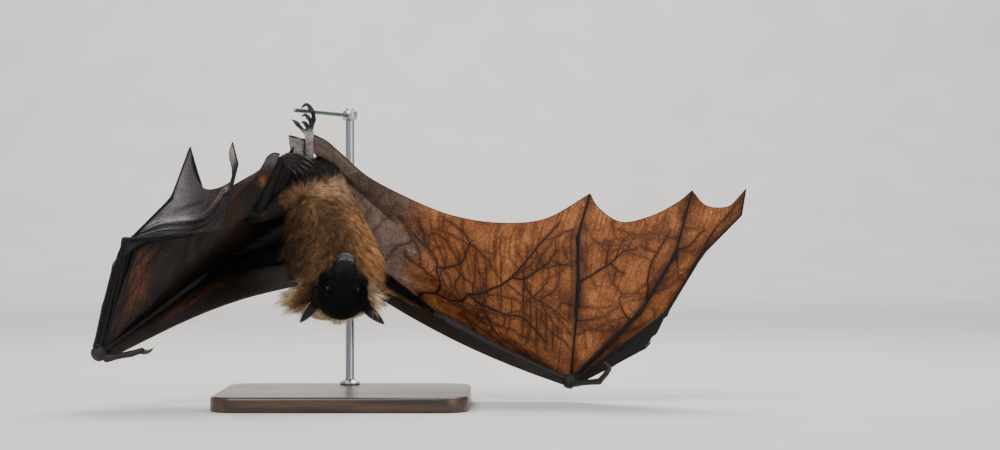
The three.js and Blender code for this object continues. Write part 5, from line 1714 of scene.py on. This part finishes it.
def bunched(u, s):
    """Sharp creases gathered over the folded finger: they meet at its joint and turn up at its end."""
    off_corner = (sail(u, s) - SAIL_CORNER) * 1000
    out, up = off_corner @ SAIL_FOOT, off_corner @ SAIL_RISE
    level = (up - 15 * ((out - 66) / 26).clip(0, 1.3) ** 2) / (2.0 + 12 * ramp(-4, 36, out))
    gathered = ramp(1.35, 0.95, level) * ramp(-0.7, 0.0, level)
    crease = 1 - 2 * np.abs(np.sin(7.2 * level + 0.5 * np.sin(0.09 * out))) ** 0.7
    fine_crease = 1 - 2 * np.abs(np.sin(15.5 * level + 0.8 * np.sin(0.11 * out + 1))) ** 0.8
    ridge = hump(level, 1.05, 0.17) * ramp(2, 22, out)
    hollow = hump(level, 0.6, 0.2) * ramp(34, 62, out)
    upper = hump(up - 26 - 0.25 * (out - 60), 0, 2.2) * ramp(44, 54, out) * ramp(80, 72, out)
    broad = np.sin(9 * s + 3 * np.sin(4 * u)) + 0.4 * np.sin(19 * s - 5 * u)
    drawn_up = gathered * (0.001 * crease + 0.0006 * fine_crease)
    return held(u, s) ** 0.4 * (drawn_up + 0.0019 * ridge - 0.001 * hollow - 0.0009 * upper + 0.0004 * broad)


wing_side = arm_side(LEFT, LEFT_WING, folds)
cords = twigs_on(wing_side, FOLDED_STARTS, 0.05, rng, 0.45)
hem = [hem_on(wing_side, 1.0, FULL_EDGE, (0.6, 0.5, 0.6))]
add_wing_skin("left", "side", wing_side, (140, 100, ARM_BACK), cords, hem, 1.0)

fore = arm_front(LEFT, LEFT_WING)
hem = [hem_on(fore, FULL_EDGE, 1.0, (0.9, 0.7, 0.8), 0.4)]
add_wing_skin("left", "fore", fore, (130, 30), [], hem, 0.7)

panel = hand_panel(LEFT, LEFT_WING, "ring", "little", flat)
hem = [hem_on(panel, 1.0, FULL_EDGE, HAND_HEM)]
add_wing_skin("left", "ring_little", panel, (110, 24), [], hem, 0.2)

panel = hand_panel(LEFT, LEFT_WING, "middle", "ring", bunched)
hem = [hem_on(panel, 1.0, FULL_EDGE, HAND_HEM, 0.0)]
add_wing_skin("left", "middle_ring", panel, (150, 130), [], hem, 0.1, bunched)

panel = index_panel(LEFT, LEFT_WING)
add_wing_skin("left", "index_middle", panel, (70, 12), [], [hem_on(panel, 1.0, FULL_EDGE, INDEX_HEM)], 0.1)

web = tail_web(LEGS["left"])
hem = [hem_on(web, SHORT_EDGE, 1.0, (0.5, 0.5, 0.4))]
ribs = [vein_on(web, [(0.02, share), (0.5, share), (0.98, share)], (0.6, 0.5), 0.0) for share in (0.35, 0.62)]
add_wing_skin("left", "tail", web, (40, 26), ribs, hem, 0.3)

# ---- Coat ------------------------------------------------------------------------------------
# Soft dense fur, laid as thin bent tufts that follow the lie of the coat and meet in small locks.
# It is short and close on head and limbs, and stands out long and pale round the neck.

COAT = [  # region, parts it grows on, tufts, length and width in millimetres, lift, clump and pieces
    ("belly", ("trunk",), 54000, 7.8, 0.44, 0.36, 0.42, 4),
    ("collar", ("neck",), 28000, 15.0, 0.46, 0.55, 0.62, 3),
    ("head", ("head", "brow", "cheek", "ear_root"), 18000, 4.2, 0.38, 0.2, 0.45, 2),
    ("arms", ("upper_arm", "forearm"), 13000, 7.5, 0.42, 0.26, 0.4, 1),
    ("legs", ("thigh", "shin"), 9000, 5.6, 0.42, 0.3, 0.35, 1),
]
TUFT_STEPS = (0.0, 0.5)
UNWRAP = {  # the cell of the unwrapping that each part's tufts lie in
    "trunk": (0, 0), "neck": (1, 0), "head": (2, 0), "brow": (3, 0), "cheek": (3, 1), "ear_root": (3, 2),
    "upper_arm_right": (0, 1), "upper_arm_left": (1, 1), "forearm_right": (2, 1), "forearm_left": (2, 2),
    "thigh_right": (0, 2), "thigh_left": (1, 2), "shin_right": (0, 3), "shin_left": (1, 3),
}
CELLS = 4  # how many cells the unwrapping has each way
PATCH = 0.003
LOCK_TUFTS = 15  # tufts to a lock
SUNK = 0.0004  # how far each tuft's root lies under the skin
EAR_CLEAR = 0.009  # how near to an ear's leaf a tuft's tip may come
ARM_CLEAR = (-0.056, 0.117)  # left of and above this, collar tips would come through the arm's skin
STRAY_LENGTH = 0.45  # the share of its length that a stray tuft keeps

fur, nodes = new_finish("fur", 0.62, Specular_IOR_Level=0.1, Sheen_Weight=0.02, Sheen_Roughness=0.5)
shade = carried(nodes, "shade", "Color")
reached = spread(nodes, carried(nodes, "tip"), 0.0, 0.9, 0.0, 1.0)
patchy = tone(nodes, spot_on(nodes), 110.0)
# painted shade deep in the coat: each tuft darkens towards its root
base = tinted(nodes, shade, mixed(nodes, reached, (0.2, 0.178, 0.158, 1), (1.34, 1.33, 1.31, 1)))
fleck = mixed(nodes, carried(nodes, "fleck"), (0.45, 0.43, 0.41, 1), (1.58, 1.57, 1.55, 1))
base = tinted(nodes, base, fleck)
base = tinted(nodes, base, mixed(nodes, patchy, (0.8, 0.79, 0.78, 1), (1.16, 1.16, 1.15, 1)))
strands = cloudy(nodes, spot_on(nodes), 2600.0, 2.0)
gloss = spread(nodes, strands, 0.3, 0.7, 0.5, 0.72)
feed(nodes, Base_Color=base, Roughness=gloss, Normal=relief(nodes, 0.3, 0.0002, strands))

mesh = skin.data
mesh.calc_loop_triangles()
triangles = read(mesh.loop_triangles, "vertices")
corners = points[triangles]
areas = np.linalg.norm(np.cross(corners[:, 1] - corners[:, 0], corners[:, 2] - corners[:, 0]), axis=1) / 2
triangle_owner = owner[triangles[:, 0]]
thickness = furred(points, owner, along_part)
thick_here = thickness[triangles].mean(axis=1)


def off_places(places, others):
    """How far each place is from the nearest of some others."""
    return np.min([np.linalg.norm(places - other, axis=1) for other in others], axis=0)


def lie_of_coat(region, places, outward):
    """Which way the hair runs at each place, before it is laid along the skin."""
    x, _, z = (places * 1000).T
    wander = np.stack([veer(places, 45.0, shift) for shift in (3.0, 17.0, 31.0)], axis=1)
    if region == "head":
        return -FORWARD + 0.18 * wander + 0.1 * outward
    if region == "arms":
        runs = [unit(arm["elbow"] - arm["shoulder"]) for arm in (RIGHT, LEFT)]
        return np.where((x > -12)[:, None], *runs) + 0.2 * wander + mm(0, 0, -350)
    if region == "legs":
        runs = [unit(leg["knee"] - leg["hip"]) for leg in (LEGS["right"], LEGS["left"])]
        return np.where((x > -31)[:, None], *runs) + 0.25 * wander
    if region == "collar":
        away = np.stack([x - COLLAR_MIDDLE[0], 0.0 * x, z - COLLAR_MIDDLE[1]], axis=1)
        away /= np.linalg.norm(away, axis=1, keepdims=True) + 1e-6
        away[:, 2] = np.minimum(away[:, 2], 0.1) - 0.15
        return away + 0.3 * wander
    across = (x - belly_middle(z)) / 38
    rise = np.interp(z, [125, 160, 190, 214, 226, 240], [-0.75, -0.6, -0.45, 0.3, 0.6, 0.9])
    sideways = np.sign(across) * np.abs(across) ** 0.8 + 0.8 * hump(z, 200, 17)
    unkempt = 0.3 + 0.6 * hump(z, 204, 15)
    return np.stack([0.95 * sideways, 0.0 * x, rise], axis=1) + unkempt[:, None] * wander


def tuft_bodies(root, outward, lie, length, width, lift, curl, pull_to, pull):
    """Points of bent, tapered, three-sided tufts: rings from root to tip, then the tip itself."""
    across = unit(np.cross(lie, outward))
    tip_shift = (pull_to - root) * pull[:, None]
    rows = []
    for t in (*TUFT_STEPS, 1.0):
        reach = length * t
        rise = length * lift * (t - 0.45 * t * t)
        sway = length * curl * (t * t)
        at = root + lie * reach[:, None] + outward * (rise - SUNK)[:, None] + across * sway[:, None]
        at += tip_shift * t**1.6
        half = width * (1.0 - 0.62 * t) * 0.5
        side, top = across * half[:, None], outward * (0.55 * half)[:, None]
        rows += [at - side, at + top, at + side]
    return np.stack([*rows[:-3], at], axis=1)


TIP = 3 * len(TUFT_STEPS)  # the number of a tuft's last point
TUFT_QUADS = np.array([(k, (k + 1) % 3, (k + 1) % 3 + 3, k + 3) for k in range(3)])
TUFT_TRIANGLES = np.array([(TIP - 3 + k, TIP - 3 + (k + 1) % 3, TIP) for k in range(3)] + [(2, 1, 0)])
ring_t = np.append(np.repeat(TUFT_STEPS, 3), 1.0)
ring_u = np.append(np.tile((0.0, 0.5, 1.0), len(TUFT_STEPS)), 0.5)
patch = np.stack([ring_u, ring_t], axis=1) * PATCH
leaf_spots = [ear_leaf(side, u, 0.5) for side in (-1, 1) for u in (0.35, 0.65, 0.9)]
rng = np.random.default_rng(7)
thin_out = 1

for region, parts, count, length, width, lift, clump, pieces in COAT:
    weight = areas * thick_here * is_part(triangle_owner, *parts)
    edges_of_share = np.cumsum(weight) / weight.sum()
    count //= thin_out
    picks = (np.arange(count) + rng.random(count)) / count
    chosen = np.searchsorted(edges_of_share, picks).clip(0, len(weight) - 1)
    r1, r2 = np.sqrt(rng.random(count)), rng.random(count)
    share = np.stack([1 - r1, r1 * (1 - r2), r1 * r2], axis=1)[..., None]
    root = (corners[chosen] * share).sum(axis=1)
    outward = unit((normals[triangles[chosen]] * share).sum(axis=1))
    root_owner = triangle_owner[chosen]
    root_along = along_part[triangles[chosen, 0]]
    root_around = around_part[triangles[chosen, 0]]
    lie = lie_of_coat(region, root, outward)
    lie = unit(lie - outward * np.einsum("ij,ij->i", lie, outward)[:, None] + 1e-6)
    own_thick = (thickness[triangles[chosen]] * share[..., 0]).sum(axis=1)
    x, _, z = (root * 1000).T
    seeds = rng.choice(count, max(8, count // LOCK_TUFTS), replace=False)
    near_seed = tree_of(root[seeds])
    leader = seeds[np.array([near_seed.find(place_now)[1] for place_now in root])]
    of_lock = rng.normal(size=(4, count)).clip(-2, 2)[:, leader]
    long_here = length / 1000 * (0.8 + 0.4 * rng.random(count)) * (0.45 + 0.55 * own_thick)
    long_here *= 1 + 0.14 * of_lock[0]
    lift_here = lift * (0.7 + 0.6 * rng.random(count)) * (1 + 0.28 * of_lock[1])
    if region == "head":
        forward, aside, _ = head_axes(root)
        cheeky = ramp(-2, 8, forward) * (1 - ramp(24, 34, forward)) * ramp(8, 15, np.abs(aside))
        nape = 1 - ramp(-16, 0, forward)
        open_eye = off_places(root, [eye_place(side) for side in (-1, 1)]) * 1000
        long_here *= (1 + 0.5 * cheeky + 0.15 * nape) * (0.4 + 0.6 * ramp(6.5, 11, open_eye))
        lift_here *= 1 + 1.1 * cheeky + 0.1 * nape
    if region == "collar":
        aside, above = x - COLLAR_MIDDLE[0], z - COLLAR_MIDDLE[1]
        loose = ramp(20, 32, np.hypot(aside, above)) * (1 - ramp(108, 128, z))
        fringe = 1 - ramp(97, 105, z)
        loose *= 1 - fringe * (1 - ramp(14, 28, np.abs(aside)))
        long_here *= (0.55 + 0.6 * np.maximum(loose, 0.4 * fringe)) * (1 + 0.22 * loose * of_lock[0])
        lift_here *= 0.7 + 0.6 * loose
        hanging = fringe * (1 - loose)
        long_here += hanging * ((z - 82.5).clip(9, 13.5) / 1000 - long_here)
        lift_here += hanging * (1.45 - lift_here)
        off_ear = off_places(root, [ear_leaf(side, 0.6, 0.5) for side in (-1, 1)]) * 1000
        long_here *= 0.3 + 0.7 * ramp(12, 20, off_ear)
    if region == "belly":
        flank = ramp(18, 34, x + 12) * (1 - ramp(188, 206, z))
        far_flank = ramp(-34, -46, x) * ramp(128, 140, z)
        long_here *= 1 + 0.85 * flank + 0.5 * far_flank
        lift_here *= 1 + 0.6 * flank + 0.8 * far_flank
    if region == "arms":
        tan_edge = (x > 20) * ramp(4, -4, z - arm_level(x))
        long_here *= 1 + 0.5 * tan_edge
        lift_here *= 1 + 0.6 * tan_edge
    pull = clump * (0.8 + 0.4 * rng.random(count)).clip(0, 1)
    curl = 0.16 * rng.normal(size=count).clip(-2, 2) + 0.24 * of_lock[2]
    curl += 0.15 * np.sin(900 * root[:, 2] + 500 * root[:, 0])
    wide = width / 1000 * (0.75 + 0.5 * rng.random(count))
    bodies = tuft_bodies(root, outward, lie, long_here, wide, lift_here, 0.35 * curl, root[leader], pull)
    if region == "collar":
        tips = bodies[:, -1]
        stray = off_places(tips, leaf_spots) < EAR_CLEAR
        stray |= (tips[:, 0] < ARM_CLEAR[0]) & (tips[:, 2] > ARM_CLEAR[1])
        bodies[stray] = root[stray, None] + STRAY_LENGTH * (bodies[stray] - root[stray, None])
    colours = markings(root, root_owner, root_along)
    fleck_here = (0.5 + 0.17 * rng.normal(size=count) + 0.26 * of_lock[3]).clip(0, 1)
    cells = [UNWRAP.get(name, UNWRAP.get(name.split("_")[0], (3, 3))) for name in part_names]
    around_along = np.stack([root_around, root_along], axis=1)
    patch_at = (np.array(cells)[root_owner] + 0.02 + 0.94 * around_along) / CELLS
    per_piece = -(-count // pieces)
    order = np.argsort(np.arctan2(root[:, 1], root[:, 0] + 0.012), kind="stable")
    for number in range(pieces):
        mine = order[number * per_piece : (number + 1) * per_piece]
        shift = (np.arange(len(mine)) * (TIP + 1))[:, None, None]
        faces = [(TUFT_QUADS + shift).reshape(-1, 4), (TUFT_TRIANGLES + shift).reshape(-1, 3)]
        made = new_piece(f"coat_{region}_{number + 1}", bodies[mine].reshape(-1, 3), faces)
        keep(made, "shade", np.repeat(colours[mine], TIP + 1, axis=0))
        keep(made, "fleck", np.repeat(fleck_here[mine], TIP + 1))
        keep(made, "tip", np.tile(ring_t, len(mine)))
        layer = made.data.uv_layers.new(name="OFBake")
        placed = (patch_at[mine][:, None] + patch[None]).reshape(-1, 2)
        indices = np.empty(len(made.data.loops), np.int32)
        made.data.loops.foreach_get("vertex_index", indices)
        layer.data.foreach_set("uv", placed[indices].astype(np.float32).ravel())
        made.data.materials.append(fur)
        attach(made, "root")

# ---- Studio ----------------------------------------------------------------------------------
# A pale seamless floor that curves up far behind the model, with broad soft lamps: a key from
# above and to the left, a fill from the right, one behind the model, and one for the wall.

FLOOR_REACH = 7.0
BACK_PLACE = 6.0
BACK_BEND = 2.0
ROOM_HEIGHT = 5.0
AIR_COLOUR = (0.86, 0.9, 1.0, 1.0)
AIR_BRIGHTNESS = 0.48
CAMERA_PLACE = (0.155, -2.4, 0.18)
CAMERA_LENS = 86.4

turn = np.linspace(0, np.pi / 2, 25)
profile = [(-FLOOR_REACH, 0.0), (-1.2, 0.0), (BACK_PLACE - BACK_BEND, 0.0)]
profile += [(BACK_PLACE - BACK_BEND + BACK_BEND * np.sin(a), BACK_BEND * (1 - np.cos(a))) for a in turn[1:]]
profile += [(BACK_PLACE, 3.0), (BACK_PLACE, ROOM_HEIGHT)]
sweep_points = np.array([(x, y, z) for y, z in profile for x in (-FLOOR_REACH, FLOOR_REACH)])
pairs = np.arange(len(profile) - 1)[:, None] * 2
sweep = new_piece("studio_sweep", sweep_points, [(pairs + np.array([0, 1, 3, 2])).reshape(-1, 4)])
paper, nodes = new_finish("pale paper", 0.9)
feed(nodes, Base_Color=mixed(nodes, tone(nodes, spot_on(nodes), 6.0), opaque("#dcdad6"), opaque("#e2e0dc")))
sweep.data.materials.append(paper)

world = bpy.data.worlds.new("studio air")
bpy.context.scene.world = world
world.use_nodes = True
air = world.node_tree.nodes["Background"].inputs
air["Color"].default_value = AIR_COLOUR
air["Strength"].default_value = AIR_BRIGHTNESS


def add_lamp(name, at, aim, width, height, power, colour):
    """A soft rectangular lamp that points from its place towards its aim."""
    lamp = bpy.data.lights.new(name, "AREA")
    lamp.shape = "RECTANGLE"
    lamp.size, lamp.size_y = width, height
    lamp.energy = power
    lamp.color = colour
    lit = bpy.data.objects.new(name, lamp)
    lit.location = at
    lit.rotation_mode = "QUATERNION"
    lit.rotation_quaternion = Vector(np.subtract(aim, at)).to_track_quat("-Z", "Y")
    bpy.context.scene.collection.objects.link(lit)


add_lamp("key_lamp", (-0.9, -2.2, 2.5), (0.08, 0, 0.15), 1.9, 1.5, 80, (1.0, 0.97, 0.92))
add_lamp("fill_lamp", (2.0, -1.8, 1.0), (0.1, 0, 0.15), 1.8, 1.6, 20, (0.9, 0.95, 1.0))
add_lamp("wall_lamp", (0.0, 3.2, 3.2), (0.0, 6.0, 1.0), 4.0, 1.2, 150, (1.0, 0.98, 0.95))
add_lamp("rear_lamp", (0.3, 0.9, 1.7), (0.05, 0, 0.15), 1.6, 0.8, 40, (1.0, 0.95, 0.88))

camera = bpy.data.cameras.new("camera")
camera.sensor_width = 36
camera.lens = CAMERA_LENS
camera.clip_start = 0.05
camera.clip_end = 30
viewer = bpy.data.objects.new("camera", camera)
viewer.location = CAMERA_PLACE
viewer.rotation_euler = (np.pi / 2, 0, 0)
bpy.context.scene.collection.objects.link(viewer)
bpy.context.scene.camera = viewer
